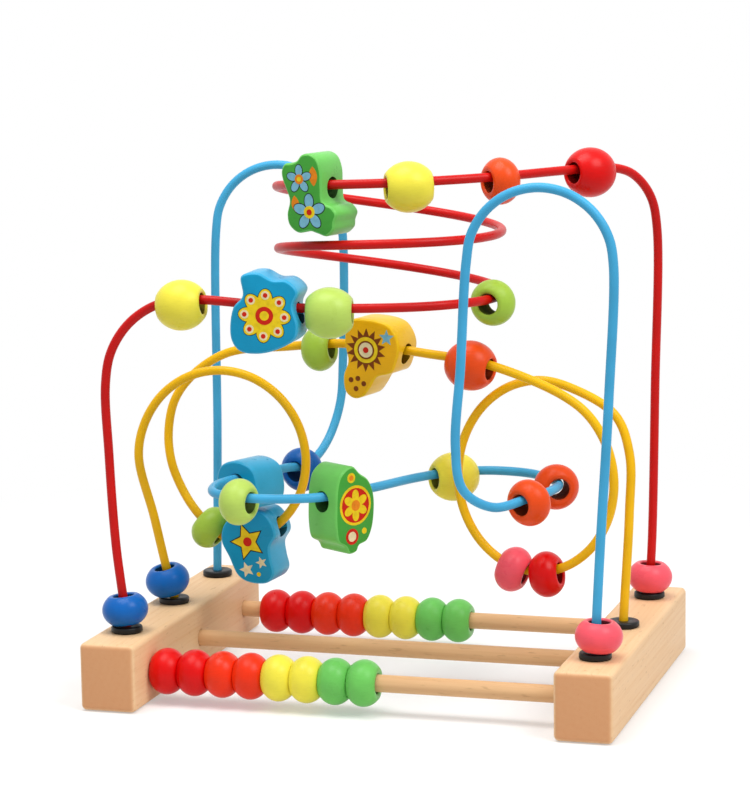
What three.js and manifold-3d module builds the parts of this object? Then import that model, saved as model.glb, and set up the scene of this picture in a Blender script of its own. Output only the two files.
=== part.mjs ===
// Bead maze: three bent wires stand between two beech end blocks and carry wooden beads and
// shaped blocks. Three rods join the end blocks, and the outer two carry counting beads.
// Millimetres. X runs from the left block to the right one, Y to the back and Z up. The origin
// is on the surface that the blocks stand on, midway between them.
import * as THREE from "three";
import { mergeVertices } from "three/addons/utils/BufferGeometryUtils.js";
import Module from "manifold-3d";

// End blocks
const BASE_WIDTH = 280;
const BLOCK_WIDTH = 30;
const BLOCK_DEPTH = 200;
const BLOCK_HEIGHT = 35.5;
const BLOCK_EDGE = 2.8;
const BLOCK_END_EDGE = 2.6;

// Rods, and the counting beads on the front one and the back one. The outer rods, and the feet of
// the outer wires, stand in from the ends of the blocks by their insets.
const ROD_DIAMETER = 9;
const ROD_HEIGHT = 16.6;
const ROD_INSET = 28;
const ROD_SEAT = 16;
const COUNTING_BEAD_DIAMETER = 24.8;
const COUNTING_BEAD_LENGTH = 15;
const COUNTING_BEAD_LIP = 3;
const COUNTING_BEAD_SLACK = 1.4;
const COUNTING_BEADS_PER_COLOUR = 2;
const FRONT_ROW_START = 0.4;
const BACK_ROW_START = 12;

// Wires, their holes in the blocks and the ferrules round their feet
const WIRE_DIAMETER = 4.8;
const WIRE_INSET = 30;
const WIRE_SEAT_WALL = 2.5;
const FERRULE_DIAMETER = 16.5;
const FERRULE_HEIGHT = 3.2;
const FERRULE_CROWN = 1.1;

// Beads on the wires
const BEAD_BORE = 11;
const ROUND_BEAD_DIAMETER = 26.6;
const ROUND_BEAD_LENGTH = 23.5;
const ROUND_BEAD_LIP = 1.8;
const RING_BEAD_DIAMETER = 24.6;
const RING_BEAD_LENGTH = 15;
const RING_BEAD_LIP = 2.2;

// Shaped blocks on the wires
const SHAPE_THICKNESS = 23;
const SHAPE_EDGE = 1.6;

// Clearances: a glued or resting piece to its seat, a bore to the wire that it hangs on, a bead
// to the bead beside it on a rod, and two rings side by side on the bend of a loop
const SEAT_GAP = 0.3;
const HANG_GAP = 0.6;
const BEAD_GAP = 0.3;
const LOOP_BEAD_GAP = 2.9;

// Red wire: left post, shoulder, level run, flat coil, top run, end shoulder and right post. The
// coil starts above the yellow hump, the level run leads into its start and the top run out of
// its end. A post lists [lean outwards, height] and the top run [x, y, height above the run].
const RED_LEFT_POST = [[4.8, 82], [7.2, 130]];
const RED_LEAN = 8;
const RED_SHOULDER = 45;
const RED_SHOULDER_DRIFT = 2;
const RED_RUN_RISE = 8.2;
const RED_RUN_SAG = 3.4;
const RED_RUN_END = [-30, -65];
const COIL_X = 1;
const COIL_RADIUS = 58.5;
const COIL_PITCH = 32.4;
const COIL_CLEARANCE = 22.8;
const COIL_RISE_TO_LEFT = 3;
const COIL_RISE_TO_FRONT = 4.2;
const COIL_TURNS = 1.8125;
const TOP_RUN_RISE = 8.2;
const TOP_RUN = [[-25, -52, -1], [20, -44, 0], [62, -14, 1], [92, 22, 2]];
const RED_END_SHOULDER = 34;
const RED_END_TURN = 53;
const RED_END_LEAN = 4;
const RED_RIGHT_POST = [[3, 150], [1.5, 70]];

// Blue wire: back arch, level wave and front arch. The wave lies above the foot of the yellow left
// loop. The drop from the back arch and the rise to the front arch list [x, y, height above the
// wave], and the wave lists [x, y], with a height too where it sags.
const ARCH_RADIUS = 37;
const ARCH_HEIGHT = 270;
const BACK_ARCH_X = -84;
const FRONT_ARCH_X = 97.5;
const BLUE_LEFT_POST = [[-2, 120]];
const WAVE_CLEARANCE = 38;
const WAVE_DROP = [[-48, 70, 50], [-49, 67, 28], [-53, 55, 8.5], [-58, 36, -1.2]];
const WAVE = [
  [-64, 14], [-76, -12], [-83.5, -40], [-77, -63], [-59, -72], [-36, -71], [-17, -60], [-1, -31],
  [14, 2], [28, 21], [48, 30], [72, 24], [89, 6, -1], [90, -14, -1.2], [83, -36, -1.5],
];
const WAVE_RISE = [[69, -55, -3], [57, -68, 8], [54, -70, 30], [57, -70, 70]];
const BLUE_RIGHT_POST = [[7, 165], [2.5, 90]];

// Yellow wire: left post, left loop, hump, right loop and right post. The loops lie lower than the
// hump's crest, the left one outside the wave's left bend. The way up lists [x from the left loop's
// middle, y, height above its foot], the hump lists [x, y, height above its crest] and the way
// down lists [x, y, height above the right loop's middle].
const YELLOW_LEFT_POST = [[3.2, 57], [7.6, 85]];
const LEFT_LOOP_OUTSIDE = 8.5;
const LEFT_LOOP_Y = -15;
const LEFT_LOOP_DROP = 61;
const LEFT_LOOP_RADIUS = 45.5;
const LEFT_LOOP_STRETCH = 1.5;
const LEFT_LOOP_DRIFT = 17;
const HUMP_RISE = [
  [-12, 3, 6.5], [-21, 4, 15], [-29, 6, 26], [-35, 7, 40],
  [-37, 8.5, 56], [-33.5, 10, 74], [-23, 11, 88], [-3, 12, 100.5],
];
const HUMP_HEIGHT = 180;
const HUMP = [[-60, 11, -3], [-24, 6, 0], [20, -2, -3], [57, -11, -7]];
const RIGHT_LOOP_X = 79;
const RIGHT_LOOP_Y = -14;
const RIGHT_LOOP_DROP = 66.75;
const RIGHT_LOOP_RADIUS = 43;
const RIGHT_LOOP_STRETCH = 6.75;
const RIGHT_LOOP_DRIFT = 23;
const HUMP_FALL = [[119, 8, 32.5], [127, 6, 12.5], [127.5, 3, -18]];

// Where each piece hangs: a marked point of its wire's route and the distance past that point. A
// ring that has caught on the wire above its lowest place also has its rise.
const LOOP_RING_PLACE = -6;
const PLACES = {
  red_run_yellow_bead: ["shoulder4", -3],
  red_run_blue_block: ["run", -13],
  red_run_green_bead: ["run", 17],
  red_coil_green_ring: ["coil4", -9],
  red_top_green_block: ["top0", 3],
  red_top_yellow_bead: ["top1", 4],
  red_top_orange_ring: ["top2", 3],
  red_top_red_bead: ["top3", 14],
  blue_wave_blue_ring: ["wave0", -16],
  blue_wave_blue_block: ["wave0", 29],
  blue_wave_green_ring: ["wave4", -2],
  blue_wave_green_block: ["wave6", 10],
  blue_wave_yellow_bead: ["wave9", 0],
  blue_wave_orange_ring: ["wave12", -2],
  blue_wave_front_orange_ring: ["wave14", -1],
  yellow_loop_blue_block: ["climb0", -27.85],
  yellow_loop_green_ring: ["climb0", -1, 1.5],
  yellow_hump_green_ring: ["hump1", -18],
  yellow_hump_amber_block: ["hump1", 18],
  yellow_hump_orange_bead: ["hump3", -11],
  yellow_loop_red_ring: ["rightLoop7", LOOP_RING_PLACE],
  yellow_loop_pink_ring: ["rightLoop7", LOOP_RING_PLACE + RING_BEAD_LENGTH + LOOP_BEAD_GAP],
};

// How far each bead on a ferrule lies to one side of its bore, from -1 at the left to 1.
const FOOT_SHIFTS = {
  red_left_foot_bead: 0.1,
  red_right_foot_bead: 0,
  blue_right_foot_bead: 0.6,
  yellow_left_foot_bead: -0.6,
};

// Facets
const WIRE_SIDES = 8;
const WIRE_TURN = 13;
const WIRE_STEP = 45;
const BEAD_SIDES = 16;
const BEAD_RINGS = 6;
const POINTS_PER_TURN = 16;
const OUTLINE_POINTS = 36;
const HOLE_SIDES = 18;

const COLOURS = {
  beech: 0xdcb283,
  rod: 0xe3bd8f,
  black: 0x161413,
  redWire: 0xcc1a14,
  blueWire: 0x4fa9d0,
  yellowWire: 0xf7b80f,
  red: 0xd91818,
  orange: 0xee5a1c,
  yellow: 0xf9ec4a,
  green: 0xa9d244,
  leaf: 0x44b04a,
  blue: 0x0c4fb4,
  pink: 0xf96a78,
  sky: 0x1e97c4,
  amber: 0xf7b414,
};

const wasm = await Module();
wasm.setup();

const { degToRad, radToDeg, lerp } = THREE.MathUtils;
const toy = new THREE.Group();
const postX = (BASE_WIDTH - BLOCK_WIDTH) / 2;
const innerX = BASE_WIDTH / 2 - BLOCK_WIDTH;
const rodY = BLOCK_DEPTH / 2 - ROD_INSET;
const wireY = BLOCK_DEPTH / 2 - WIRE_INSET;
const wireSeat = BLOCK_HEIGHT - ROD_HEIGHT - ROD_DIAMETER / 2 - WIRE_SEAT_WALL;
const ferruleBase = BLOCK_HEIGHT + SEAT_GAP;
const ferruleTop = ferruleBase + FERRULE_HEIGHT;
const boreSlack = (BEAD_BORE - WIRE_DIAMETER) / 2;
const coilHeight = HUMP_HEIGHT + COIL_CLEARANCE;
const redRunHeight = coilHeight + RED_RUN_RISE;
const topRunHeight = coilHeight + COIL_PITCH * COIL_TURNS + TOP_RUN_RISE;
const leftLoopHeight = HUMP_HEIGHT - LEFT_LOOP_DROP;
const leftLoopFoot = leftLoopHeight - LEFT_LOOP_RADIUS - LEFT_LOOP_STRETCH;
const leftLoopX = Math.min(...WAVE.map(([x]) => x)) - LEFT_LOOP_OUTSIDE;
const rightLoopHeight = HUMP_HEIGHT - RIGHT_LOOP_DROP;
const waveHeight = leftLoopFoot + WAVE_CLEARANCE;
const up = new THREE.Vector3(0, 0, 1);

const ROUND_BEAD = {
  diameter: ROUND_BEAD_DIAMETER,
  length: ROUND_BEAD_LENGTH,
  bore: BEAD_BORE,
  lip: ROUND_BEAD_LIP,
};
const RING_BEAD = {
  diameter: RING_BEAD_DIAMETER,
  length: RING_BEAD_LENGTH,
  bore: BEAD_BORE,
  lip: RING_BEAD_LIP,
};
const COUNTING_BEAD = {
  diameter: COUNTING_BEAD_DIAMETER,
  length: COUNTING_BEAD_LENGTH,
  bore: ROD_DIAMETER + COUNTING_BEAD_SLACK,
  lip: COUNTING_BEAD_LIP,
};

function addPiece(name, geometry, colour, roughness = 0.45) {
  const material = new THREE.MeshStandardMaterial({ color: colour, roughness, metalness: 0 });
  const mesh = new THREE.Mesh(geometry, material);
  mesh.name = name;
  toy.add(mesh);
  return mesh;
}

// A closed geometry as a solid that can be joined or cut.
function solidOf(geometry) {
  const bare = geometry.clone();
  bare.deleteAttribute("normal");
  bare.deleteAttribute("uv");
  const merged = mergeVertices(bare, 1e-3);
  return new wasm.Manifold(
    new wasm.Mesh({
      numProp: 3,
      vertProperties: merged.attributes.position.array,
      triVerts: new Uint32Array(merged.index.array),
    }),
  );
}

// A solid as a geometry that a mesh can hold.
function geometryOf(solid) {
  const { vertProperties, triVerts } = solid.getMesh();
  const geometry = new THREE.BufferGeometry();
  geometry.setAttribute("position", new THREE.BufferAttribute(vertProperties, 3));
  geometry.setIndex(new THREE.BufferAttribute(triVerts, 1));
  return geometry;
}

function cutAway(geometry, cutters) {
  let solid = solidOf(geometry);
  for (const cutter of cutters) {
    solid = solid.subtract(solidOf(cutter));
  }
  return geometryOf(solid);
}

// An upright cylinder whose lower end is at the given point.
function uprightCylinder(diameter, length, x, y, z) {
  const geometry = new THREE.CylinderGeometry(diameter / 2, diameter / 2, length, HOLE_SIDES);
  geometry.rotateX(Math.PI / 2);
  return geometry.translate(x, y, z + length / 2);
}

// A cylinder along X with its middle at the given point.
function levelCylinder(diameter, length, x, y, z) {
  const geometry = new THREE.CylinderGeometry(diameter / 2, diameter / 2, length, HOLE_SIDES);
  geometry.rotateZ(Math.PI / 2);
  return geometry.translate(x, y, z);
}

// A bar along Y with rounded long edges and eased ends, standing on the ground.
function softBar(width, depth, height, edge, ease) {
  const w = width / 2 - edge;
  const h = height / 2 - edge;
  const shape = new THREE.Shape();
  shape.absarc(w, h, edge, 0, Math.PI / 2);
  shape.absarc(-w, h, edge, Math.PI / 2, Math.PI);
  shape.absarc(-w, -h, edge, Math.PI, 1.5 * Math.PI);
  shape.absarc(w, -h, edge, 1.5 * Math.PI, 2 * Math.PI);
  const geometry = new THREE.ExtrudeGeometry(shape, {
    depth: depth - 2 * ease,
    curveSegments: 3,
    bevelThickness: ease,
    bevelSize: ease,
    bevelOffset: -ease,
    bevelSegments: 2,
  });
  geometry.rotateX(Math.PI / 2);
  return geometry.translate(0, depth / 2 - ease, height / 2);
}

// Each end block has three blind holes on top for the wires and three inside for the rods.
function addEndBlocks() {
  const wireHole = WIRE_DIAMETER + 2 * SEAT_GAP;
  const wireHoleDepth = wireSeat + SEAT_GAP;
  const rodHole = ROD_DIAMETER + 2 * SEAT_GAP;
  const rodHoleDepth = ROD_SEAT + SEAT_GAP;
  for (const [name, side] of [["left_block", -1], ["right_block", 1]]) {
    const cutters = [];
    for (const row of [-1, 0, 1]) {
      const holeFloor = BLOCK_HEIGHT - wireHoleDepth;
      cutters.push(uprightCylinder(wireHole, 2 * wireHoleDepth, side * postX, row * wireY, holeFloor));
      cutters.push(levelCylinder(rodHole, 2 * rodHoleDepth, side * innerX, row * rodY, ROD_HEIGHT));
    }
    const bar = softBar(BLOCK_WIDTH, BLOCK_DEPTH, BLOCK_HEIGHT, BLOCK_EDGE, BLOCK_END_EDGE);
    bar.translate(side * postX, 0, 0);
    addPiece(name, cutAway(bar, cutters), COLOURS.beech, 0.6);
  }
}

function addRods() {
  const length = 2 * (innerX + ROD_SEAT);
  for (const [name, row] of [["front_rod", -1], ["middle_rod", 0], ["back_rod", 1]]) {
    const rod = levelCylinder(ROD_DIAMETER, length, 0, row * rodY, ROD_HEIGHT);
    addPiece(name, rod, COLOURS.rod, 0.6);
  }
}

// A ferrule is a washer with a sloping crown that lies on the block round the wire.
function addFerrules() {
  const bore = WIRE_DIAMETER / 2 + SEAT_GAP;
  const rim = FERRULE_DIAMETER / 2;
  const profile = [
    new THREE.Vector2(bore, 0),
    new THREE.Vector2(rim, 0),
    new THREE.Vector2(rim, FERRULE_HEIGHT - FERRULE_CROWN),
    new THREE.Vector2(rim - FERRULE_CROWN, FERRULE_HEIGHT),
    new THREE.Vector2(bore, FERRULE_HEIGHT),
    new THREE.Vector2(bore, 0),
  ];
  for (const [sideName, side] of [["left", -1], ["right", 1]]) {
    for (const [rowName, row] of [["front", -1], ["middle", 0], ["back", 1]]) {
      const ring = new THREE.LatheGeometry(profile, BEAD_SIDES);
      ring.rotateX(Math.PI / 2);
      ring.translate(side * postX, row * wireY, ferruleBase);
      addPiece(`${sideName}_${rowName}_ferrule`, ring, COLOURS.black, 0.5);
    }
  }
}

// The middle line of one wire, gathered point by point from its left foot to its right foot.
// A mark names a point, so that a bead can be placed from it.
class WireRoute {
  points = [];
  marks = {};

  to(x, y, z, mark) {
    this.points.push(new THREE.Vector3(x, y, z));
    if (mark) {
      this.marks[mark] = this.points.length - 1;
    }
    return this;
  }

  // A foot stands upright in its hole and in its ferrule.
  leftFoot(row) {
    this.to(-postX, row * wireY, BLOCK_HEIGHT - wireSeat);
    this.to(-postX, row * wireY, BLOCK_HEIGHT);
    return this.to(-postX, row * wireY, ferruleTop + SEAT_GAP, "leftFoot");
  }

  rightFoot(row) {
    this.to(postX, row * wireY, ferruleTop + SEAT_GAP, "rightFoot");
    this.to(postX, row * wireY, BLOCK_HEIGHT);
    return this.to(postX, row * wireY, BLOCK_HEIGHT - wireSeat);
  }

  // The points of a post, which leans outwards on its side.
  post(side, y, leans) {
    for (const [lean, z] of leans) {
      this.to(side * (postX + lean), y, z);
    }
    return this;
  }

  // A list of [x, y, z] points from the given height and x, marked by their place in the list.
  through(points, mark, height, fromX = 0) {
    points.forEach(([x, y, z = 0], i) => this.to(fromX + x, y, height + z, `${mark}${i}`));
    return this;
  }

  // Part of an upright ellipse that faces the front, moving back by drift on its way.
  bow({ x, y, z, width, height, from, to, drift = 0, mark }) {
    const steps = Math.round((Math.abs(to - from) / 360) * POINTS_PER_TURN);
    for (let i = 0; i <= steps; i++) {
      const share = i / steps;
      const angle = degToRad(lerp(from, to, share));
      const rise = height * Math.sin(angle);
      this.to(x + width * Math.cos(angle), y + drift * share, z + rise, `${mark}${i}`);
    }
    return this;
  }
}

// A wire along a route. Its rings stand close together in bends and far apart on straight runs.
class BentWire extends THREE.Curve {
  constructor(route) {
    super();
    this.spline = new THREE.CatmullRomCurve3(route.points, false, "centripetal");
    this.samplesPerPoint = 12;
    this.spline.arcLengthDivisions = (route.points.length - 1) * this.samplesPerPoint;
    this.lengths = this.spline.getLengths();
    this.length = this.lengths[this.lengths.length - 1];
    this.marks = route.marks;
    this.stations = this.findStations();
    this.rings = this.stations.map((share) => this.spline.getPointAt(share));
  }

  distanceTo(mark) {
    return this.lengths[this.marks[mark] * this.samplesPerPoint];
  }

  findStations() {
    const feet = [this.distanceTo("leftFoot"), this.distanceTo("rightFoot"), this.length];
    const stations = [0];
    let last = this.spline.getTangentAt(0);
    let travelled = 0;
    for (const distance of this.lengths) {
      const share = distance / this.length;
      const tangent = this.spline.getTangentAt(share);
      const turned = radToDeg(tangent.angleTo(last));
      if (turned > WIRE_TURN || distance - travelled > WIRE_STEP || feet.includes(distance)) {
        stations.push(share);
        last = tangent;
        travelled = distance;
      }
    }
    return stations;
  }

  shareAt(u) {
    const place = u * (this.stations.length - 1);
    const before = Math.min(Math.floor(place), this.stations.length - 2);
    return lerp(this.stations[before], this.stations[before + 1], place - before);
  }

  getPointAt(u, target) {
    return this.spline.getPointAt(this.shareAt(u), target);
  }

  getTangentAt(u, target) {
    return this.spline.getTangentAt(this.shareAt(u), target);
  }

  // The middle of the wire a distance past a marked point of its route.
  pointPast(mark, distance) {
    const share = (this.distanceTo(mark) + distance) / this.length;
    const next = this.stations.findIndex((station) => station >= share);
    const before = this.stations[next - 1];
    const part = (share - before) / (this.stations[next] - before);
    return this.rings[next - 1].clone().lerp(this.rings[next], part);
  }

  // The middle of the wire from one distance past a mark to another: both ends and all corners.
  pointsPast(mark, from, to) {
    const [first, last] = [from, to].map((distance) => (this.distanceTo(mark) + distance) / this.length);
    const corners = this.rings.filter((_, i) => this.stations[i] > first && this.stations[i] < last);
    return [this.pointPast(mark, from), ...corners, this.pointPast(mark, to)];
  }

  geometry() {
    const section = new THREE.Shape();
    section.absarc(0, 0, WIRE_DIAMETER / 2, 0, 2 * Math.PI);
    return new THREE.ExtrudeGeometry(section, {
      steps: this.stations.length - 1,
      curveSegments: WIRE_SIDES / 2,
      extrudePath: this,
    });
  }
}

// The coil winds to the right at the front. It starts at its front, where the level run ends.
function coilPoint(turns) {
  const angle = 2 * Math.PI * (turns - 0.25);
  const lean = COIL_RISE_TO_LEFT * Math.cos(angle) + COIL_RISE_TO_FRONT * Math.sin(angle);
  return new THREE.Vector3(
    COIL_X + COIL_RADIUS * Math.cos(angle),
    COIL_RADIUS * Math.sin(angle),
    coilHeight + COIL_PITCH * turns - lean,
  );
}

function redWire() {
  const route = new WireRoute();
  route.leftFoot(-1).post(-1, -wireY, RED_LEFT_POST);
  route.bow({
    x: -postX - RED_LEAN + RED_SHOULDER,
    y: -wireY,
    z: redRunHeight - RED_SHOULDER,
    width: RED_SHOULDER,
    height: RED_SHOULDER,
    from: 180,
    to: 90,
    drift: RED_SHOULDER_DRIFT,
    mark: "shoulder",
  });
  route.to(...RED_RUN_END, redRunHeight - RED_RUN_SAG, "run");
  for (let i = 1; i <= COIL_TURNS * POINTS_PER_TURN; i++) {
    route.to(...coilPoint(i / POINTS_PER_TURN), `coil${i}`);
  }
  route.through(TOP_RUN, "top", topRunHeight);
  const shoulderZ = topRunHeight + TOP_RUN[TOP_RUN.length - 1][2] - RED_END_SHOULDER;
  const turn = degToRad(RED_END_TURN);
  for (const angle of [90, 60, 30, 0].map(degToRad)) {
    const back = RED_END_SHOULDER * (1 - Math.cos(angle));
    const x = postX + RED_END_LEAN - back * Math.cos(turn);
    const y = wireY - back * Math.sin(turn);
    route.to(x, y, shoulderZ + RED_END_SHOULDER * Math.sin(angle));
  }
  route.post(1, wireY, RED_RIGHT_POST).rightFoot(1);
  return new BentWire(route);
}

function blueWire() {
  const route = new WireRoute();
  const arch = {
    z: ARCH_HEIGHT - ARCH_RADIUS,
    width: ARCH_RADIUS,
    height: ARCH_RADIUS,
    from: 180,
    to: 0,
  };
  route.leftFoot(1).post(-1, wireY, BLUE_LEFT_POST);
  route.bow({ x: BACK_ARCH_X, y: wireY, ...arch, mark: "backArch" });
  route.through(WAVE_DROP, "drop", waveHeight);
  route.through(WAVE, "wave", waveHeight);
  route.through(WAVE_RISE, "rise", waveHeight);
  route.bow({ x: FRONT_ARCH_X, y: -wireY, ...arch, mark: "frontArch" });
  route.post(1, -wireY, BLUE_RIGHT_POST).rightFoot(-1);
  return new BentWire(route);
}

function yellowWire() {
  const route = new WireRoute();
  route.leftFoot(0);
  for (const [lean, z] of YELLOW_LEFT_POST) {
    route.to(-postX - lean, -lean, z);
  }
  route.bow({
    x: leftLoopX,
    y: LEFT_LOOP_Y,
    z: leftLoopHeight,
    width: LEFT_LOOP_RADIUS,
    height: LEFT_LOOP_RADIUS + LEFT_LOOP_STRETCH,
    from: 180,
    to: -90,
    drift: LEFT_LOOP_DRIFT,
    mark: "leftLoop",
  });
  route.through(HUMP_RISE, "climb", leftLoopFoot, leftLoopX);
  route.through(HUMP, "hump", HUMP_HEIGHT);
  route.bow({
    x: RIGHT_LOOP_X,
    y: RIGHT_LOOP_Y,
    z: rightLoopHeight,
    width: RIGHT_LOOP_RADIUS,
    height: RIGHT_LOOP_RADIUS + RIGHT_LOOP_STRETCH,
    from: 67.5,
    to: -292.5,
    drift: RIGHT_LOOP_DRIFT,
    mark: "rightLoop",
  });
  route.through(HUMP_FALL, "fall", rightLoopHeight).rightFoot(0);
  return new BentWire(route);
}

// A turned bead along X: an oval barrel between two flat lips, with a plain bore.
function beadGeometry({ diameter, length, bore, lip }) {
  const half = length / 2;
  const radius = diameter / 2;
  const lipAngle = Math.acos((bore / 2 + lip) / radius);
  const profile = [new THREE.Vector2(bore / 2, -half)];
  for (let i = 0; i <= BEAD_RINGS; i++) {
    const angle = lipAngle * ((2 * i) / BEAD_RINGS - 1);
    const axial = (half * Math.sin(angle)) / Math.sin(lipAngle);
    profile.push(new THREE.Vector2(radius * Math.cos(angle), axial));
  }
  profile.push(new THREE.Vector2(bore / 2, half));
  profile.push(profile[0].clone());
  return new THREE.LatheGeometry(profile, BEAD_SIDES).rotateZ(Math.PI / 2);
}

// A piece hangs from the wire by the top of its bore, as low as the bend of the wire inside it
// lets it hang, or caught a rise above that. Its local X lies along the wire, from start to end.
function hangOn(mesh, wire, start, end) {
  const [mark, distance, rise = 0] = PLACES[mesh.name];
  const middle = wire.pointPast(mark, distance);
  const inside = wire.pointsPast(mark, distance + start, distance + end);
  const along = inside[inside.length - 1].clone().sub(inside[0]).normalize();
  const across = new THREE.Vector3().crossVectors(up, along).normalize();
  const lift = new THREE.Vector3().crossVectors(along, across);
  const sides = inside.map((point) => point.clone().sub(middle).dot(across));
  const heights = inside.map((point) => point.clone().sub(middle).dot(lift));
  const shift = (Math.max(...sides) + Math.min(...sides)) / 2;
  const reach = boreSlack - HANG_GAP;
  const drops = heights.map((point, i) => point - Math.sqrt(reach ** 2 - (sides[i] - shift) ** 2));
  mesh.quaternion.setFromRotationMatrix(new THREE.Matrix4().makeBasis(along, across, lift));
  const height = Math.max(...drops) + rise;
  mesh.position.copy(middle).addScaledVector(across, shift).addScaledVector(lift, height);
}

function addHangingBead(name, wire, bead, colour) {
  const half = bead.length / 2;
  hangOn(addPiece(name, beadGeometry(bead), colour), wire, -half, half);
}

// A bead at the foot of a wire rests on the ferrule, turned with the wire.
function addFootBead(name, wire, mark, colour) {
  const way = mark === "leftFoot" ? 1 : -1;
  const foot = wire.pointPast(mark, 0);
  const along = wire.pointPast(mark, way * RING_BEAD_LENGTH).sub(foot).normalize();
  const dip = Math.hypot(along.x, along.y) * (BEAD_BORE / 2 + RING_BEAD_LIP);
  const mesh = addPiece(name, beadGeometry(RING_BEAD), colour);
  mesh.quaternion.setFromUnitVectors(new THREE.Vector3(1, 0, 0), along);
  mesh.position.copy(foot).addScaledVector(along, RING_BEAD_LENGTH / 2 + dip);
  mesh.position.x += FOOT_SHIFTS[name] * (boreSlack - HANG_GAP);
}

// Outlines of the shaped blocks, seen from the front. The bore runs along X through the origin.
const OUTLINES = {
  wings: [
    [-14, 17.5], [-5.5, 20], [2.7, 17], [9.8, 17.2], [16, 12], [14, 4.5], [17, -5.5],
    [16, -12], [6.5, -18.6], [-4.4, -21.6], [-13.2, -20.6], [-17.8, -14.5], [-17.4, 1], [-12.8, 7.5],
  ],
  tall: [
    [-15, 9.5], [-12.8, 13.2], [-8.6, 13.6], [-5.6, 14.6], [-2.8, 17.4], [2, 18], [6.2, 15.6],
    [8.5, 9.5], [8.5, 1], [9, -6.7], [13.8, -9.2], [16.3, -13], [14.8, -17], [14.2, -20.5], [9.5, -24],
    [4.5, -22.6], [0, -21.3], [-7, -22], [-12, -18], [-13, -12.5], [-11.2, -5.5], [-12.8, 0], [-14.6, 5],
  ],
  shell: [
    [-12.7, 7.5], [-10.4, 14], [-5.2, 18], [-1, 18.3], [3.4, 14.3], [9.2, 10],
    [12.6, 2], [12.6, -8.5], [10.8, -16.5], [7.4, -21.8], [2.3, -23.5], [0.5, -26.4],
    [-4.8, -27], [-7.2, -23.2], [-12, -20], [-13.6, -12], [-13.5, -2],
  ],
  comb: [
    [-13.5, 16.5], [-2, 18.4], [11, 15.4], [16.5, 6], [15, -3.5], [12.2, -9.2], [3.5, -12.5],
    [0, -18], [-4, -23], [-9.5, -24.6], [-14.5, -21.5], [-16, -13], [-13.5, -5], [-15.5, 5],
  ],
  pear: [
    [-15.3, 10.8], [-4.5, 15.2], [8.5, 12], [14, 4], [13.2, -6], [12, -17], [7.5, -22.3],
    [-3, -26], [-8.7, -22.8], [-10.2, -15], [-12, -8.5], [-17.6, -3.5], [-18.4, 2.5],
  ],
  arch: [
    [-14.5, 0], [-11.2, 8.7], [0, 12.2], [11.2, 8.7], [14.5, 0], [14, -8], [9.5, -13], [-9.5, -13], [-14, -8],
  ],
};

// A block sawn from a plank along a smooth outline, with eased edges. The outline lies in XZ.
function shapedBlock(outline) {
  const corners = outline.map(([x, z]) => new THREE.Vector3(x, z, 0));
  const curve = new THREE.CatmullRomCurve3(corners, true, "centripetal");
  const rim = curve.getSpacedPoints(OUTLINE_POINTS).slice(0, -1);
  const shape = new THREE.Shape(rim.map(({ x, y }) => new THREE.Vector2(x, y)));
  const geometry = new THREE.ExtrudeGeometry(shape, {
    depth: SHAPE_THICKNESS - 2 * SHAPE_EDGE,
    bevelThickness: SHAPE_EDGE,
    bevelSize: SHAPE_EDGE,
    bevelOffset: -SHAPE_EDGE,
    bevelSegments: 1,
  });
  geometry.translate(0, 0, SHAPE_EDGE - SHAPE_THICKNESS / 2);
  return geometry.rotateX(Math.PI / 2);
}

// A block is bored along its width, or through its face if it faces along the wire.
function addShapedBlock(name, wire, outline, colour, facesAlong = false) {
  const body = shapedBlock(outline);
  if (facesAlong) {
    body.rotateZ(Math.PI / 2);
  }
  const bore = levelCylinder(BEAD_BORE, 2 * BASE_WIDTH, 0, 0, 0);
  const mesh = addPiece(name, cutAway(body, [bore]), colour);
  const { min, max } = new THREE.Box3().setFromBufferAttribute(body.getAttribute("position"));
  hangOn(mesh, wire, min.x, max.x);
}

function addCountingBeads() {
  const colours = [COLOURS.red, COLOURS.orange, COLOURS.yellow, COLOURS.leaf];
  const height = ROD_HEIGHT - COUNTING_BEAD_SLACK / 2 + SEAT_GAP;
  for (const [rowName, row, start] of [["front", -1, FRONT_ROW_START], ["back", 1, BACK_ROW_START]]) {
    for (let i = 0; i < colours.length * COUNTING_BEADS_PER_COLOUR; i++) {
      const x = -innerX + start + COUNTING_BEAD_LENGTH / 2 + i * (COUNTING_BEAD_LENGTH + BEAD_GAP);
      const bead = beadGeometry(COUNTING_BEAD).translate(x, row * rodY, height);
      const colour = colours[Math.floor(i / COUNTING_BEADS_PER_COLOUR)];
      addPiece(`${rowName}_counting_bead_${i + 1}`, bead, colour);
    }
  }
}

const red = redWire();
const blue = blueWire();
const yellow = yellowWire();

addEndBlocks();
addRods();
addFerrules();
addPiece("red_wire", red.geometry(), COLOURS.redWire, 0.3);
addPiece("blue_wire", blue.geometry(), COLOURS.blueWire, 0.3);
addPiece("yellow_wire", yellow.geometry(), COLOURS.yellowWire, 0.3);

addFootBead("red_left_foot_bead", red, "leftFoot", COLOURS.blue);
addHangingBead("red_run_yellow_bead", red, ROUND_BEAD, COLOURS.yellow);
addShapedBlock("red_run_blue_block", red, OUTLINES.wings, COLOURS.sky);
addHangingBead("red_run_green_bead", red, ROUND_BEAD, COLOURS.green);
addHangingBead("red_coil_green_ring", red, RING_BEAD, COLOURS.green);
addShapedBlock("red_top_green_block", red, OUTLINES.tall, COLOURS.leaf);
addHangingBead("red_top_yellow_bead", red, ROUND_BEAD, COLOURS.yellow);
addHangingBead("red_top_orange_ring", red, RING_BEAD, COLOURS.orange);
addHangingBead("red_top_red_bead", red, ROUND_BEAD, COLOURS.red);
addFootBead("red_right_foot_bead", red, "rightFoot", COLOURS.pink);

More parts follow.
